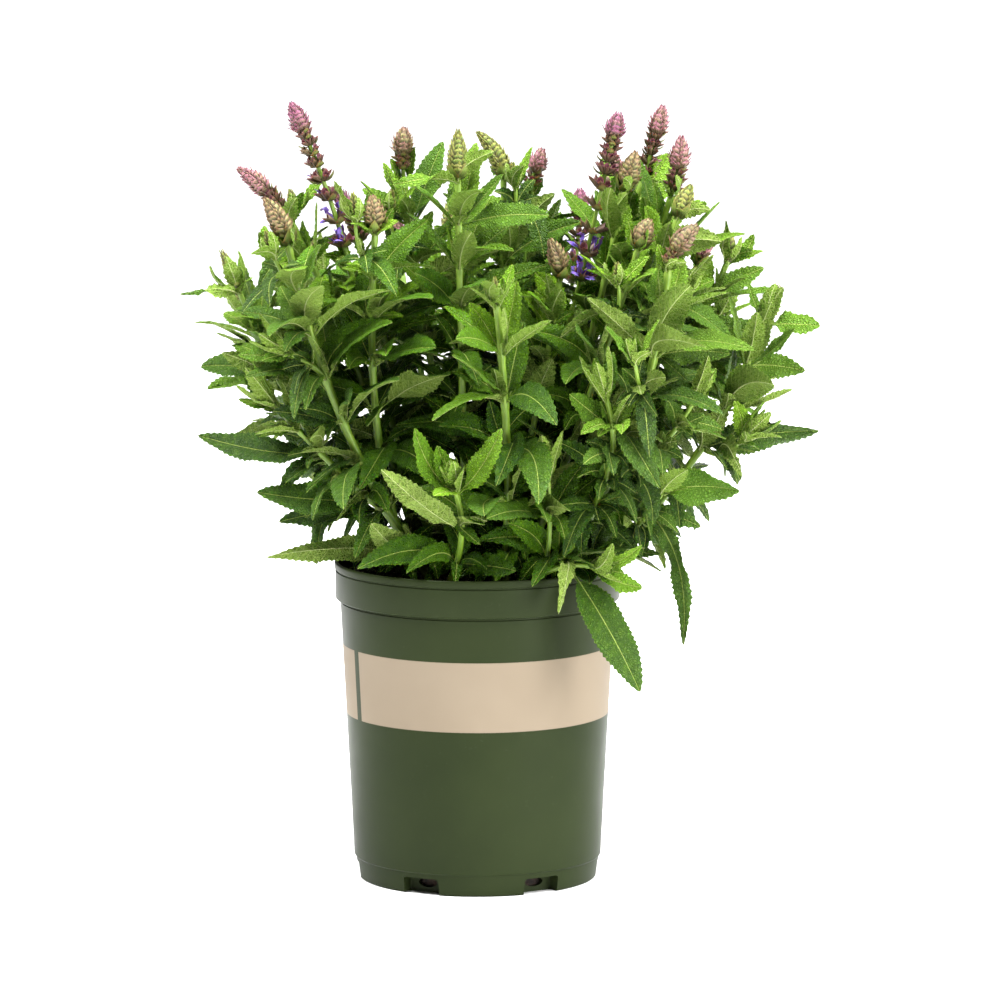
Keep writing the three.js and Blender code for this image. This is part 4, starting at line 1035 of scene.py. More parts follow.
def add_tip_leaves(skin, shoot):
    """Six small leaves closed round the shoot's growing point."""
    axis, seed = shoot["head_axis"], shoot["index"]
    size = min(LONGEST_TIP_LEAF, axis.length * 0.95)
    for k in range(TIP_LEAVES):
        place = axis.at(0.4 + 0.5 * k)
        out = radial(place, math.radians(90 * (k % 4 // 2) + 180 * (k % 2) + 45))
        long = size * between(0.75, 1.1, seed, k, 80) * (1 - 0.12 * (k // 2))
        lean = between(0.16, 0.4, seed, k, 81)
        add_leaf(skin, {
            "base": place["p"] + out * 0.6,
            "control": place["p"] + place["d"] * long * 0.4 + out * long * lean * 0.9,
            "tip": place["p"] + unit(place["d"] + out * lean) * long,
            "sideways": np.cross(place["d"], out), "size": long, "half": long * 0.17 + 0.5,
            "fold": 0.55, "roll": 0, "twist": between(-20, 20, seed, k, 82), "wave": 0.15,
            "wave_turn": 0, "age": 1.0, "tint": draw(seed, k, 83),
        })


# ---------- added leaves on the nodes, where there is room ----------

VOXEL = 1.6
GRID_LOW = vec(-190, -170, 170)
GRID_SHAPE = (252, 220, 182)
SAMPLE = 1.5
BLADE = 900
CLEAR_DEPTH = 70
CLEAR_ACROSS = (-5, -2.5, 0, 2.5, 5)
BOX_MARGIN = 2.0
BOX_LOW = np.array(cad_box[0]) / MM + BOX_MARGIN
BOX_HIGH = np.array(cad_box[1]) / MM - BOX_MARGIN
ITEMS_PER_NODE = 16
BARE_CUTS = (0.95, 0.8, 0.65, 0.5, 0.35)
BARE_TRIES = 28
UPPER_SHARE = 0.5
UPPER_LEAVES = 6
UPPER_ITEM = 14
ROUND_ITEM = 2
TUFT_CUTS = (1.0, 0.78, 0.6)
TUFT_TRIES = 14
# The rounds of small leaves: their share of a full leaf's size and how far they lean out.
TUFT_ROUNDS = ((0.66, 0.62), (0.54, 0.3), (0.54, 0.95))


class Room:
    """Which cells of space are taken, and by which shoot."""

    def __init__(self):
        self.cells = np.zeros(GRID_SHAPE, np.int16)

    def index(self, points):
        cell = np.floor((points - GRID_LOW) / VOXEL).astype(int)
        return tuple(np.clip(cell, 1, np.array(GRID_SHAPE) - 2).T)

    def claim(self, points, owner):
        self.cells[self.index(points)] = owner + 1

    def free(self, points, owner):
        held = self.cells[self.index(points)]
        return not np.any((held != 0) & (held != owner + 1))


def blade_samples(leaf, start):
    """Points over a blade, from a distance along it to its tip."""
    t = np.arange(start / leaf["size"], 1, SAMPLE / leaf["size"])
    frames = blade_frames(leaf, t)
    sides = [across * half_width(leaf, t) for across in np.linspace(-1, 1, 9)]
    return np.concatenate([laid_out(frames, side, leaf["fold"] * np.abs(side)) for side in sides])


def allowed(points):
    """Whether points keep clear of the pot and stay inside the crown and the solids' box."""
    from_axis = np.hypot(points[:, 0], points[:, 1])
    height = points[:, 2]
    in_pot = (from_axis < RIM_RADIUS + 1.2) & (height < POT_HEIGHT + 1.5)
    over_soil = (from_axis < RIM_RADIUS - 6) & (height > SOIL_TOP + 3)
    outside = np.hypot(points[:, 0] - CROWN_X, points[:, 1]) > graded(CROWN, height)
    over_box = np.any((points < BOX_LOW) | (points > BOX_HIGH), axis=1)
    return not np.any((in_pot & ~over_soil) | outside | over_box)


def claim_standing(room):
    """Claims the room of the stems, the heads, the space before violet spikes, and the leaves."""
    for shoot in shoots:
        axis, head_axis = shoot["axis"], shoot["head_axis"]
        for s in np.arange(0, axis.length, SAMPLE):
            place = axis.at(s)
            ring = [place["p"] + facing(place, k) * half_at(shoot, s) for k in range(4)]
            room.claim(np.array(ring), shoot["index"])
        for s in np.arange(1, head_axis.length, SAMPLE):
            place = head_axis.at(s)
            half = shoot["head"]["half"] * 0.8
            ring = [place["p"] + radial(place, math.radians(45 * k)) * half for k in range(8)]
            room.claim(np.array(ring), BLADE)
        if shoot["head"]["finish"] == "violet":
            for s in np.arange(4, head_axis.length, SAMPLE):
                ahead = head_axis.at(s)["p"] - np.outer(np.arange(6, CLEAR_DEPTH, SAMPLE), vec(0, 1, 0))
                for across in CLEAR_ACROSS:
                    room.claim(ahead + vec(across, 0, 0), BLADE)
    for shoot in shoots:
        for node in shoot["nodes"]:
            for leaf in node["leaves"]:
                if leaf:
                    room.claim(blade_samples(leaf, 5), BLADE)


def every_node():
    """Each node with its shoot and the size of a full added leaf on it."""
    for shoot in shoots:
        for node in shoot["nodes"]:
            yield shoot, node, graded(BRANCH_SIZES if shoot["parent"] else FILL_SIZES, node["share"])


def added_leaves():
    """Fills the bare sides of the nodes, then adds smaller leaves, where there is room."""
    room = Room()
    claim_standing(room)
    added = {shoot["index"]: [] for shoot in shoots}

    def try_leaf(shoot, node, face, item, full, cuts, steep, tries=TUFT_TRIES):
        owner = shoot["index"]
        item += node["index"] * ITEMS_PER_NODE
        for cut in cuts:
            for attempt in range(tries):
                leaf = fill_leaf(shoot, node, face, item, attempt, full * cut, steep)
                middle = leaf["base"] * 0.25 + leaf["control"] * 0.5 + leaf["tip"] * 0.25
                if not room.free(np.array([middle, leaf["tip"]]), owner):
                    continue
                points = blade_samples(leaf, 7)
                if allowed(points) and room.free(points, owner):
                    room.claim(blade_samples(leaf, 4), BLADE)
                    added[owner].append(leaf)
                    return

    def size_draw(shoot, node, item, low, high, use):
        return between(low, high, shoot["index"], node["index"] * ITEMS_PER_NODE + item, use)

    for shoot, node, full in every_node():
        for k in (0, 1):
            if node["leaves"][k] is None:
                try_leaf(shoot, node, node["turn"] + 2 * k, k, full, BARE_CUTS, 1, BARE_TRIES)
    for shoot, node, full in every_node():
        if node["share"] > UPPER_SHARE:
            for k in range(UPPER_LEAVES):
                size = full * size_draw(shoot, node, UPPER_ITEM + k, 0.7, 1, 91)
                steep = 0.85 if k < 4 else 0.45
                try_leaf(shoot, node, node["turn"] + k, UPPER_ITEM + k, size, TUFT_CUTS, steep)
    for ring, (share, steep) in enumerate(TUFT_ROUNDS):
        for shoot, node, full in every_node():
            for k in range(4 if ring else 2):
                item = ROUND_ITEM + ring * 4 + k
                size = full * share * size_draw(shoot, node, item, 0.8, 1.15, 90)
                face = node["turn"] + 2 * (k % 2) + (k // 2 if ring else 0)
                try_leaf(shoot, node, face, item, size, TUFT_CUTS, steep)
    return added


# ---------- materials ----------

# How much brighter than plain white the studio's light shows a white card.
STUDIO_GAIN = 1.35


def colour(r, g, b):
    """The surface that shows as this display colour, 0 to 255, in the studio's light."""
    parts = []
    for value in (r, g, b):
        v = value / 255
        linear = v / 12.92 if v <= 0.04045 else ((v + 0.055) / 1.055) ** 2.4
        parts.append(linear / STUDIO_GAIN)
    return (*parts, 1.0)


class Reading:
    """A value that runs through a material's nodes, with plain arithmetic."""

    def __init__(self, nodes, socket):
        self.nodes = nodes
        self.socket = socket

    def __add__(self, other):
        return self.nodes.math("ADD", self, other)

    def __radd__(self, other):
        return self.nodes.math("ADD", other, self)

    def __sub__(self, other):
        return self.nodes.math("SUBTRACT", self, other)

    def __rsub__(self, other):
        return self.nodes.math("SUBTRACT", other, self)

    def __mul__(self, other):
        return self.nodes.math("MULTIPLY", self, other)

    def __truediv__(self, other):
        return self.nodes.math("DIVIDE", self, other)

    def __gt__(self, other):
        return self.nodes.math("GREATER_THAN", self, other)

    def __lt__(self, other):
        return self.nodes.math("LESS_THAN", self, other)

    def __abs__(self):
        return self.nodes.math("ABSOLUTE", self)


class Nodes:
    """A material in the making, with short calls for its nodes."""

    def __init__(self, name):
        self.material = bpy.data.materials.new(name)
        self.material.use_nodes = True
        self.tree = self.material.node_tree
        self.shader = self.tree.nodes["Principled BSDF"]

    def put(self, socket, value):
        if isinstance(value, Reading):
            self.tree.links.new(value.socket, socket)
        else:
            socket.default_value = value

    def set(self, **values):
        for key, value in values.items():
            self.put(self.shader.inputs[key.replace("_", " ")], value)

    def add(self, kind, inputs, output, **settings):
        """Adds a node, sets it, fills its inputs and reads one of its outputs."""
        node = self.tree.nodes.new(kind)
        for key, value in settings.items():
            setattr(node, key, value)
        for key, value in inputs.items():
            self.put(node.inputs[key], value)
        return Reading(self, node.outputs[output])

    def attribute(self, name):
        return self.add("ShaderNodeAttribute", {}, "Fac", attribute_name=name)

    def uv(self):
        return self.add("ShaderNodeUVMap", {}, "UV", uv_map="UVMap")

    def place(self):
        return self.add("ShaderNodeTexCoord", {}, "Object")

    def split(self, vector):
        first = self.add("ShaderNodeSeparateXYZ", {0: vector}, 0)
        return [Reading(self, socket) for socket in first.socket.node.outputs]

    def math(self, operation, a, b=0.0):
        return self.add("ShaderNodeMath", {0: a, 1: b}, 0, operation=operation)

    def wave(self, value):
        return abs(self.math("SINE", value))

    def from_axis(self, x, y):
        return self.math("SQRT", x * x + y * y)

    def band(self, value, low, high):
        """Runs smoothly from 0 at low to 1 at high."""
        inputs = {"Value": value, "From Min": low, "From Max": high}
        return self.add("ShaderNodeMapRange", inputs, "Result", interpolation_type="SMOOTHSTEP")

    def fade(self, value, low, high):
        """Runs smoothly from 1 at low to 0 at high."""
        return 1.0 - self.band(value, low, high)

    def noise(self, vector, scale, detail=3.0, roughness=0.5):
        inputs = {"Vector": vector, "Scale": scale, "Detail": detail, "Roughness": roughness}
        return self.add("ShaderNodeTexNoise", inputs, "Fac")

    def cracks(self, vector, scale):
        inputs = {"Vector": vector, "Scale": scale}
        return self.add("ShaderNodeTexVoronoi", inputs, "Distance", feature="DISTANCE_TO_EDGE")

    def blend(self, share, a, b):
        """Runs from a to b, each a reading or a display colour."""
        a, b = (value if isinstance(value, Reading) else colour(*value) for value in (a, b))
        inputs = {"Factor": share, "A": a, "B": b}
        return self.add("ShaderNodeMix", inputs, "Result", data_type="RGBA")

    def bump(self, height, strength, distance):
        inputs = {"Height": height, "Strength": strength, "Distance": distance}
        self.set(Normal=self.add("ShaderNodeBump", inputs, "Normal"))


def leaf_material():
    n = Nodes("salvia_leaf")
    uv = n.uv()
    x, s, _ = n.split(uv)
    age, tint, under = n.attribute("age"), n.attribute("tint"), n.attribute("under")
    across = abs(x) * (1 / UV_SCALE)
    wobble = (n.noise(uv, 60, 2) - 0.5) * 1.6
    run = s * (1 / UV_SCALE) - across * VEIN_LEAN + wobble
    phase = run / VEIN_PITCH + (x > 0.0) * 0.5
    side_vein = n.fade(n.wave(phase * math.pi), 0.02, 0.22)
    midrib = n.fade(across + n.attribute("span") * 0.24, 0.28, 0.52)
    net = n.fade(n.cracks(uv, 62), 0.02, 0.34)
    fine = n.fade(n.cracks(uv, 150), 0.0, 0.3)

    old = n.blend(tint, (28, 66, 0), (70, 110, 6))
    young = n.blend(tint, (92, 144, 8), (142, 190, 28))
    top = n.blend(n.band(age, 0.35, 0.92), old, young)
    top = n.blend(n.band(n.noise(uv, 22, 3), 0.35, 0.75) * 0.35, top, (116, 162, 20))
    top = n.blend(side_vein * 0.3, top, (128, 168, 40))
    # Painted shade: the sunken vein net on the upper face is darkened.
    top = n.blend(net * 0.45, top, (18, 50, 0))
    # A pale down with a painted sheen on the swellings between the veins, painted stronger on the outer and
    # upper leaves, where the light falls, than inside the crown.
    x_place, y_place, z_place = n.split(n.place())
    at_side = n.band(n.from_axis(x_place, y_place), 0.07, 0.13)
    painted_sheen_mask = n.math("MAXIMUM", at_side, n.band(z_place, 0.33, 0.42))
    top = n.blend(painted_sheen_mask * 0.05 * (1.5 - net), top, (195, 195, 166))
    top = n.blend(midrib * 0.8, top, (190, 210, 108))

    below = n.blend(n.band(age, 0.35, 1.0), (72, 102, 18), (104, 142, 30))
    below = n.blend(tint * 0.4, below, (142, 166, 70))
    below = n.blend(net * 0.34, below, (166, 190, 94))
    below = n.blend(side_vein * 0.7, below, (186, 206, 114))
    below = n.blend(midrib * 0.85, below, (204, 218, 142))
    n.set(Base_Color=n.blend(under, top, below))

    veins = side_vein * 0.6 + net * 0.7 + fine * 0.2 + midrib * 0.5
    n.bump(veins * (under * 2.0 - 1.0), 1.0, 0.0012)
    n.set(Roughness=0.34 + under * 0.24 + n.noise(uv, 140, 2) * 0.12, Specular_IOR_Level=0.14)
    n.set(Subsurface_Weight=0.08, Subsurface_Scale=0.0015, Subsurface_Radius=(0.5, 1.0, 0.2))
    return n.material


def stem_material():
    n = Nodes("salvia_stem")
    age = n.attribute("age")
    stretched = n.add("ShaderNodeMapping", {"Vector": n.uv(), "Scale": (1, 0.12, 1)}, "Vector")
    streak = n.noise(stretched, 110, 4)
    streaked = n.band(streak, 0.3, 0.7)
    low = n.blend(streaked, (78, 112, 10), (118, 152, 28))
    high = n.blend(streaked, (112, 148, 34), (148, 180, 66))
    body = n.blend(n.band(age, 0.15, 0.85), low, high)
    body = n.blend(n.band(n.noise(n.place(), 90, 3), 0.62, 0.75) * 0.25, body, (120, 90, 60))
    n.set(Base_Color=n.blend(n.fade(age, 0.0, 0.1) * 0.55, body, (96, 84, 48)))
    n.bump(streak, 0.35, 0.0005)
    n.set(Roughness=0.5, Subsurface_Weight=0.08, Subsurface_Scale=0.002)
    return n.material


def bract_material(name, low, high, edge, vein):
    """Scales that run from low at their foot to high, with a coloured rim and point, and painted shade over
    the foot, where the scales below overlap it.
    """
    n = Nodes(name)
    x, y, _ = n.split(n.uv())
    tint = n.attribute("tint")
    body = n.blend(n.band(y, 0.15, 0.95), low, high)
    body = n.blend(n.band(n.attribute("age"), 0.1, 0.9) * 0.45, body, high)
    body = n.blend(tint * 0.42, body, edge)
    body = n.blend(n.band(n.math("FRACT", tint * 7.3), 0.5, 0.9) * 0.5, body, low)
    rim = n.math("MAXIMUM", n.band(abs(x), 0.62, 1.0), n.band(y, 0.74, 1.0))
    body = n.blend(rim * 0.7, body, edge)
    # Painted shade over the scale's foot, where the scales below cover it.
    body = n.blend(n.fade(y, 0.4, 0.76) * 0.7, body, (58, 48, 22))
    lines = n.wave(x * 9.0)
    n.set(Base_Color=n.blend(n.fade(lines, 0.0, 0.4) * 0.4, body, vein))
    n.bump(lines, 0.4, 0.0003)
    n.set(Roughness=0.6, Subsurface_Weight=0.08, Subsurface_Scale=0.001)
    return n.material


def corolla_material():
    n = Nodes("salvia_corolla")
    x, y, _ = n.split(n.uv())
    body = n.blend(n.attribute("tint"), (84, 58, 158), (128, 98, 198))
    n.set(Base_Color=n.blend(n.band(y, 0.55, 1.0) * 0.3, body, (172, 150, 224)))
    n.bump(n.wave(x * 7.0), 0.2, 0.0002)
    n.set(Roughness=0.55, Subsurface_Weight=0.1, Subsurface_Scale=0.001)
    return n.material


def soil_material():
    n = Nodes("potting_mix")
    place = n.place()
    tint = n.attribute("tint")
    grain = n.noise(place, 420, 6, 0.7)
    body = n.blend(n.band(grain, 0.35, 0.7), (22, 16, 12), (58, 42, 32))
    body = n.blend(n.band(n.noise(place, 120, 4, 0.6), 0.5, 0.8), body, (80, 56, 40))
    body = n.blend(n.band(tint, 0.72, 0.95) * 0.7, body, (126, 78, 54))
    n.set(Base_Color=n.blend(n.band(tint, 0.955, 0.96) * 0.9, body, (196, 184, 164)), Roughness=0.92)
    n.bump(grain, 0.9, 0.0012)
    return n.material


BAND_LOW = 96.3
BAND_HIGH = 136.7
BAND_GAP_TURN = -63.0
BAND_GAP_HALF = 2.6
INK_BLUR = 0.12
PRINTED_RADIUS = 0.0736


def pot_material():
    """Moulded green plastic with a printed plain band, parted by one upright gap."""
    n = Nodes("pot_plastic")
    place = n.place()
    x, y, z = n.split(place)
    level = z * (1 / MM) + (n.noise(place, 900, 2) - 0.5) * 0.16
    over = n.band(level, BAND_LOW - INK_BLUR, BAND_LOW + INK_BLUR)
    beneath = n.fade(level, BAND_HIGH - INK_BLUR, BAND_HIGH + INK_BLUR)
    cos, sin = math.cos(math.radians(BAND_GAP_TURN)), math.sin(math.radians(BAND_GAP_TURN))
    # The distance from the upright plane through the axis and the gap, and the half of the pot
    # that the gap is on.
    aside = abs(x * (cos / MM) + y * (sin / MM))
    off_gap = n.band(aside, BAND_GAP_HALF - INK_BLUR, BAND_GAP_HALF + INK_BLUR)
    ink = n.math("MAXIMUM", off_gap, x * sin - y * cos < 0.0)
    printed = over * beneath * (ink * (n.from_axis(x, y) > PRINTED_RADIUS))
    cloud = n.noise(place, 14, 3)
    green = n.blend(n.band(cloud, 0.25, 0.75), (36, 45, 22), (42, 51, 26))
    scuff = n.band(n.noise(place, 260, 5, 0.65), 0.6, 0.85)
    green = n.blend(scuff * 0.08, green, (110, 120, 98))
    paper = n.blend(n.band(cloud, 0.3, 0.7), (137, 124, 106), (142, 129, 111))
    n.set(Base_Color=n.blend(printed, green, paper), Specular_IOR_Level=0.06)
    n.set(Roughness=0.34 + n.noise(place, 60, 4) * 0.12 + printed * 0.14)
    n.bump(n.noise(place, 1600, 2) * 0.12 + printed * 0.5, 0.3, 0.0002)
    return n.material


# ---------- the pot ----------

POT_SIDES = 144
POCKET_DEPTH = 24.0
POCKET_ROUNDING = 1.1
DRAIN_SIDES = 28
DRAIN_LENGTH = 10
SMOOTH_ANGLE = 32


def turned(name, outline, sides):
    """A body of revolution raised from a disc by extruding and scaling it along an outline."""
    deselect_all()
    radius, z = outline[0]
    bpy.ops.mesh.primitive_circle_add(vertices=sides, radius=radius * MM, fill_type="NGON",
                                      location=(0, 0, z * MM))
    obj = bpy.context.object
    obj.name = name
    bpy.ops.object.transform_apply(location=True, rotation=True, scale=True)
    start_editing()
    for next_radius, next_z in outline[1:]:
        bpy.ops.mesh.extrude_region_move(TRANSFORM_OT_translate={"value": (0, 0, (next_z - z) * MM)})
        ratio = next_radius / radius
        bpy.ops.transform.resize(value=(ratio, ratio, 1), center_override=(0, 0, next_z * MM))
        radius, z = next_radius, next_z
    bpy.ops.mesh.select_all(action="SELECT")
    bpy.ops.mesh.normals_make_consistent(inside=False)
    stop_editing()
    return obj


def rounded(centre, radius, start, end, steps):
    """Points of an arc in the outline's plane, angles in degrees from +r towards +z."""
    angles = np.radians(np.linspace(start, end, steps))
    return [(centre[0] + radius * math.cos(a), centre[1] + radius * math.sin(a)) for a in angles]


def placed(scale, turn, middle, height):
    """Sizes, turns and moves the cutter just made, and applies all three."""
    cutter = bpy.context.object
    cutter.location = (middle[0] * MM, middle[1] * MM, height * MM)
    cutter.scale = [size * MM for size in scale]
    cutter.rotation_euler = turn
    bpy.ops.object.transform_apply(location=True, rotation=True, scale=True)
    return cutter


def cut(target, cutter):
    select_only(target)
    modifier = target.modifiers.new("cut", "BOOLEAN")
    modifier.operation = "DIFFERENCE"
    modifier.solver = "EXACT"
    modifier.object = cutter
    bpy.ops.object.modifier_apply(modifier=modifier.name)
    bpy.data.objects.remove(cutter)


def wall_radius(z):
    return mix(WALL_FOOT_RADIUS, WALL_TOP_RADIUS, (z - STEP_HEIGHT) / (COLLAR_BOTTOM - STEP_HEIGHT))


def pot_outline():
    """The foot, the step, the wall, the groove and lip of the collar, the bead, the rim, and the inside."""
    return [
        (BASE_RADIUS - 1.6, 0),
        *rounded((BASE_RADIUS - 1.4, 1.4), 1.4, -80, 0, 5),
        (WALL_FOOT_RADIUS - 1, STEP_HEIGHT - 1.2),
        *rounded((WALL_FOOT_RADIUS - 0.7, STEP_HEIGHT + 0.1), 0.7, -70, 0, 4),
        *((wall_radius(z), z) for z in (60, 112, COLLAR_BOTTOM - 2.6)),
        (WALL_TOP_RADIUS - 0.7, COLLAR_BOTTOM - 2.2),
        (WALL_TOP_RADIUS - 0.7, COLLAR_BOTTOM - 1.2),
        (WALL_TOP_RADIUS + 0.4, COLLAR_BOTTOM - 0.9),
        (COLLAR_RADIUS - 0.8, COLLAR_BOTTOM - 0.7),
        (COLLAR_RADIUS - 0.25, COLLAR_BOTTOM - 0.3),
        (COLLAR_RADIUS, COLLAR_BOTTOM + 0.5),
        (COLLAR_RADIUS, POT_HEIGHT - 5.5),
        (COLLAR_RADIUS - 0.6, POT_HEIGHT - 5.1),
        (COLLAR_RADIUS - 0.6, POT_HEIGHT - 4.6),
        (RIM_RADIUS - 0.1, POT_HEIGHT - 4.1),
        (RIM_RADIUS, POT_HEIGHT - 3.6),
        (RIM_RADIUS, POT_HEIGHT - 1.4),
        *rounded((RIM_RADIUS - 1.1, POT_HEIGHT - 1.1), 1.1, 20, 160, 8),
        (COLLAR_RADIUS - WALL, POT_HEIGHT - 2.4),
        (COLLAR_RADIUS - WALL, COLLAR_BOTTOM + WALL),
        (WALL_TOP_RADIUS - WALL, COLLAR_BOTTOM - WALL),
        (wall_radius(LEDGE_TOP) - WALL, LEDGE_TOP),
        (LEDGE_RADIUS, LEDGE_TOP),
        (LEDGE_RADIUS, FLOOR_TOP),
    ]


def make_pot():
    pot = turned("nursery_pot_dressed", pot_outline(), POT_SIDES)
    for i in range(NOTCHES):
        angle = math.radians(NOTCH_TURN + 360 / NOTCHES * i - 90)
        ahead = vec(math.cos(angle), math.sin(angle))
        deselect_all()
        bpy.ops.mesh.primitive_cube_add(size=1)
        pocket = placed((POCKET_DEPTH, NOTCH_WIDTH, 2 * NOTCH_HEIGHT), (0, 0, angle),
                        ahead * (NOTCH_BACK + POCKET_DEPTH / 2), 0)
        start_editing()
        bpy.ops.mesh.bevel(offset=POCKET_ROUNDING * MM, segments=3)
        stop_editing()
        cut(pot, pocket)
        deselect_all()
        bpy.ops.mesh.primitive_cylinder_add(vertices=DRAIN_SIDES, radius=1, depth=1)
        drain = placed((DRAIN_HALF_HEIGHT, DRAIN_HALF_WIDTH, DRAIN_LENGTH), (0, math.pi / 2, angle),
                       ahead * LEDGE_RADIUS, DRAIN_HEIGHT)
        cut(pot, drain)
    select_only(pot)
    bpy.ops.object.shade_smooth_by_angle(angle=math.radians(SMOOTH_ANGLE))
    pot.data.materials.clear()
    pot.data.materials.append(pot_material())
    return pot


# ---------- the potting mix ----------

SOIL_CELLS = 72
SOIL_RADIUS = COLLAR_RADIUS - WALL - FIT
SOIL_SMOOTH_ANGLE = 50
CRUMBS = 1500


def soil_height(x, y):
    relief = 1.5 * np.sin(x / 9) * np.cos(y / 7) + 0.8 * np.sin(x / 3.1 + 1) * np.sin(y / 3.7)
    return SOIL_TOP - 0.4 + relief + 0.5 * np.sin(x / 1.3 + y / 2.1) * np.sin(y / 1.5)


def spun(a, b, angle):
    """Two of a point's coordinates turned about the third."""
    return a * math.cos(angle) - b * math.sin(angle), a * math.sin(angle) + b * math.cos(angle)


def add_soil_body(skin):
    """A rough disc with its wall and its foot, closed all round."""
    deselect_all()
    bpy.ops.mesh.primitive_grid_add(x_subdivisions=SOIL_CELLS, y_subdivisions=SOIL_CELLS, size=2)
    points, faces = read_template(bpy.context.object)
    x, y = points[:, 0], points[:, 1]
    disc_x = x * np.sqrt(1 - y * y / 2) * SOIL_RADIUS
    disc_y = y * np.sqrt(1 - x * x / 2) * SOIL_RADIUS
    rim = np.maximum(np.abs(x), np.abs(y)) > EDGE
    surface = np.stack([disc_x, disc_y, np.where(rim, SOIL_TOP - 3, soil_height(disc_x, disc_y))], 1)
    border = [i for i in range(len(points)) if rim[i]]
    border.sort(key=lambda i: math.atan2(points[i, 1], points[i, 0]))
    wall = surface[border]
    wall[:, :2] *= 0.96
    wall[:, 2] = SOIL_TOP - 12
    foot = wall.copy()
    foot[:, :2] *= 0.74
    foot[:, 2] = FLOOR_TOP + FIT
    walls = []
    around = len(border)
    for k, i in enumerate(border):
        after = (k + 1) % around
        upper, next_upper = len(points) + k, len(points) + after
        walls.append((i, upper, next_upper, border[after]))
        walls.append((upper, upper + around, next_upper + around, next_upper))
    underside = tuple(len(points) + around + k for k in reversed(range(around)))
    body = np.concatenate([surface, wall, foot])
    skin.add(body, list(faces) + walls + [underside], body[:, :2] * UV_SCALE, 0, 0.0, 0.3)


def add_crumbs(skin):
    deselect_all()
    bpy.ops.mesh.primitive_ico_sphere_add(subdivisions=1, radius=1)
    ball, faces = read_template(bpy.context.object)
    for i in range(CRUMBS):
        away = math.sqrt(draw(i, 0, 1)) * (SOIL_RADIUS - 3)
        angle = 2 * math.pi * draw(i, 0, 2)
        px, py = away * math.cos(angle), away * math.sin(angle)
        size = 0.7 + 2.6 * draw(i, 0, 3) ** 4
        stretch = vec(1, mix(0.4, 1, draw(i, 0, 4)), mix(0.3, 0.8, draw(i, 0, 5))) * size
        turn = 2 * math.pi * draw(i, 0, 6)
        tilt = mix(-0.5, 0.5, draw(i, 0, 7))
        rough = 1 + 0.3 * np.array([draw(i, k, 8) - 0.5 for k in range(len(ball))])
        x, y, z = (ball * stretch * rough[:, None]).T
        x, z = spun(x, z, tilt)
        x, y = spun(x, y, turn)
        crumb = np.stack([x, y, z], 1) + vec(px, py, float(soil_height(px, py)) + stretch[2] * 0.3)
        skin.add(crumb, faces, crumb[:, :2] * UV_SCALE, 0, 0.0, draw(i, 0, 9))


def make_soil():
    skin = Skin()
    add_soil_body(skin)
    add_crumbs(skin)
    return skin.build("potting_mix_dressed", [soil_material()], SOIL_SMOOTH_ANGLE)


# ---------- putting the plant together ----------

# The display colours of each kind of bract: at its foot, at its tip, at its rim and in its veins.
BRACTS = {
    "bract_green": ((88, 128, 24), (152, 164, 64), (142, 122, 62), (98, 126, 38)),
    "bract_blush": ((110, 128, 44), (168, 150, 98), (130, 76, 72), (128, 112, 58)),
    "bract_mauve": ((128, 138, 62), (158, 128, 96), (118, 58, 74), (178, 166, 108)),
    "bract_pink": ((142, 132, 76), (178, 118, 130), (132, 58, 88), (200, 158, 148)),
    "bract_violet": ((130, 106, 74), (160, 88, 122), (108, 38, 80), (188, 124, 146)),
    "calyx_dark": ((136, 130, 68), (146, 88, 100), (100, 44, 66), (184, 140, 124)),
    "bract_leafy": ((104, 134, 38), (134, 140, 68), (116, 66, 66), (124, 144, 64)),
}
SPIKE_SMOOTH_ANGLE = 60
LEAFY_SMOOTH_ANGLE = 50


def finish_piece(piece, node):
    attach(piece, "root")
    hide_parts(node)


def make_plant():
    leaf, stem_skin = leaf_material(), stem_material()
    bracts = {name: bract_material(name, *colours) for name, colours in BRACTS.items()}
    green = bracts["bract_green"]
    corolla = corolla_material()
    added = added_leaves()
    skins = {}
    for shoot in shoots:
        skin = skins.setdefault(stem_of(shoot), Skin())
        add_stem(skin, shoot)
        grown = [one for node in shoot["nodes"] for one in node["leaves"] if one]
        for one in grown + added[shoot["index"]]:
            add_leaf(skin, one)
        kind = shoot["head"]["kind"]
        if kind == "knob":
            add_knob(skin, shoot)
        elif kind == "bud":
            add_tip_leaves(skin, shoot)
        else:
            piece = Skin()
            add_spike(piece, shoot)
            cone = bracts[f"bract_{head_look(shoot)}"]
            materials = [cone, bracts["calyx_dark"], corolla, stem_skin, green, bracts["bract_leafy"]]
            obj = piece.build(f"flower_{shoot['name']}", materials, SPIKE_SMOOTH_ANGLE)
            finish_piece(obj, f"spike_{shoot['name']}")
    for name, skin in skins.items():
        obj = skin.build(f"leafy_{name}", [leaf, stem_skin, green], LEAFY_SMOOTH_ANGLE)
        finish_piece(obj, f"stem_{name}")


# ---------- camera, light and floor ----------

CAMERA_PLACE = (0.013, -4.2, 0.835)
CAMERA_AIM = (0.013, 0.0, 0.219)
CAMERA_LENS = 265.5
FLOOR_SIZE = 60
FLOOR_GREY = 0.8
SKY_STRENGTH = 0.13
SUN_STRENGTH = 5.6
SUN_ANGLE = 40
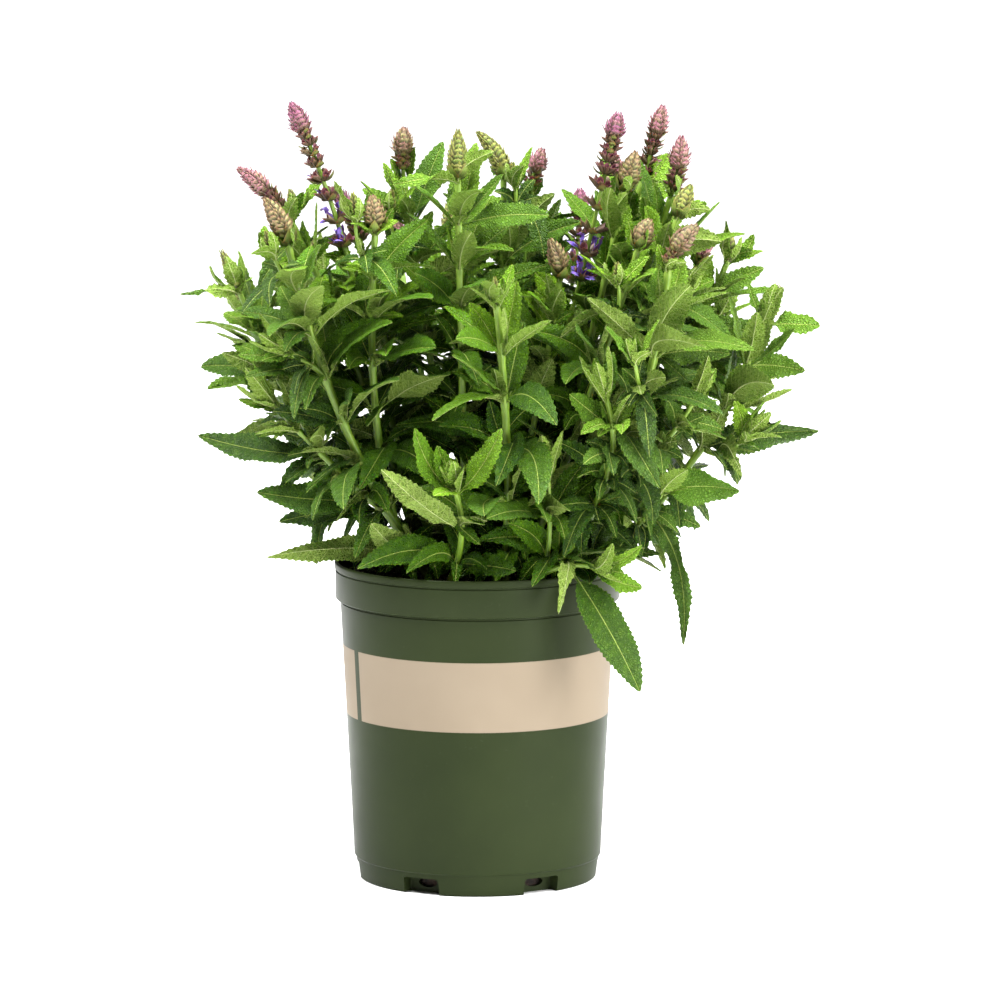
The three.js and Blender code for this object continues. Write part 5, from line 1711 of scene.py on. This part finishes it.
# Each softbox: its name, place, aim, width and height, and watts.
SOFTBOXES = [
    ("side_light", (1.8, -1.4, 0.55), (0, 0, 0.15), (1.1, 1.0), 68),
    ("left_light", (-0.95, -0.1, 2.0), (-0.05, 0, 0.35), (1.2, 1.2), 138),
    ("right_light", (0.9, 0.1, 2.05), (0.08, 0, 0.4), (1.2, 1.2), 66),
]


def add_aimed(name, data, place, target):
    obj = bpy.data.objects.new(name, data)
    obj.location = place
    bpy.context.scene.collection.objects.link(obj)
    direction = np.array(target, float) - np.array(obj.location, float)
    away = math.hypot(direction[0], direction[1])
    obj.rotation_euler = (math.atan2(away, -direction[2]), 0, math.atan2(-direction[0], direction[1]))
    return obj


def make_floor():
    deselect_all()
    bpy.ops.mesh.primitive_plane_add(size=FLOOR_SIZE, location=(0, 0, 0))
    floor = bpy.context.object
    floor.name = "studio_floor"
    n = Nodes("studio_floor")
    n.set(Base_Color=(FLOOR_GREY, FLOOR_GREY, FLOOR_GREY, 1), Roughness=0.9)
    floor.data.materials.append(n.material)


def make_light():
    world = bpy.data.worlds.new("studio_world")
    world.use_nodes = True
    background = world.node_tree.nodes["Background"]
    background.inputs["Color"].default_value = (1, 1, 1, 1)
    background.inputs["Strength"].default_value = SKY_STRENGTH
    bpy.context.scene.world = world
    sun = bpy.data.lights.new("overhead_light", "SUN")
    sun.energy = SUN_STRENGTH
    sun.angle = math.radians(SUN_ANGLE)
    add_aimed("overhead_light", sun, (1.05, -0.7, 2.35), (0, 0, 0.2))
    for name, place, target, size, watts in SOFTBOXES:
        light = bpy.data.lights.new(name, "AREA")
        light.shape = "RECTANGLE"
        light.size, light.size_y = size
        light.energy = watts
        add_aimed(name, light, place, target)


def make_camera():
    camera = bpy.data.cameras.new("camera")
    camera.sensor_width = 36
    camera.lens = CAMERA_LENS
    camera.clip_end = 100
    bpy.context.scene.camera = add_aimed("camera", camera, CAMERA_PLACE, CAMERA_AIM)
    bpy.context.scene.view_settings.view_transform = "Standard"


grow_shoots()
grow_leaves()
make_floor()
make_light()
make_camera()
finish_piece(make_pot(), "nursery_pot")
finish_piece(make_soil(), "potting_mix")
make_plant()
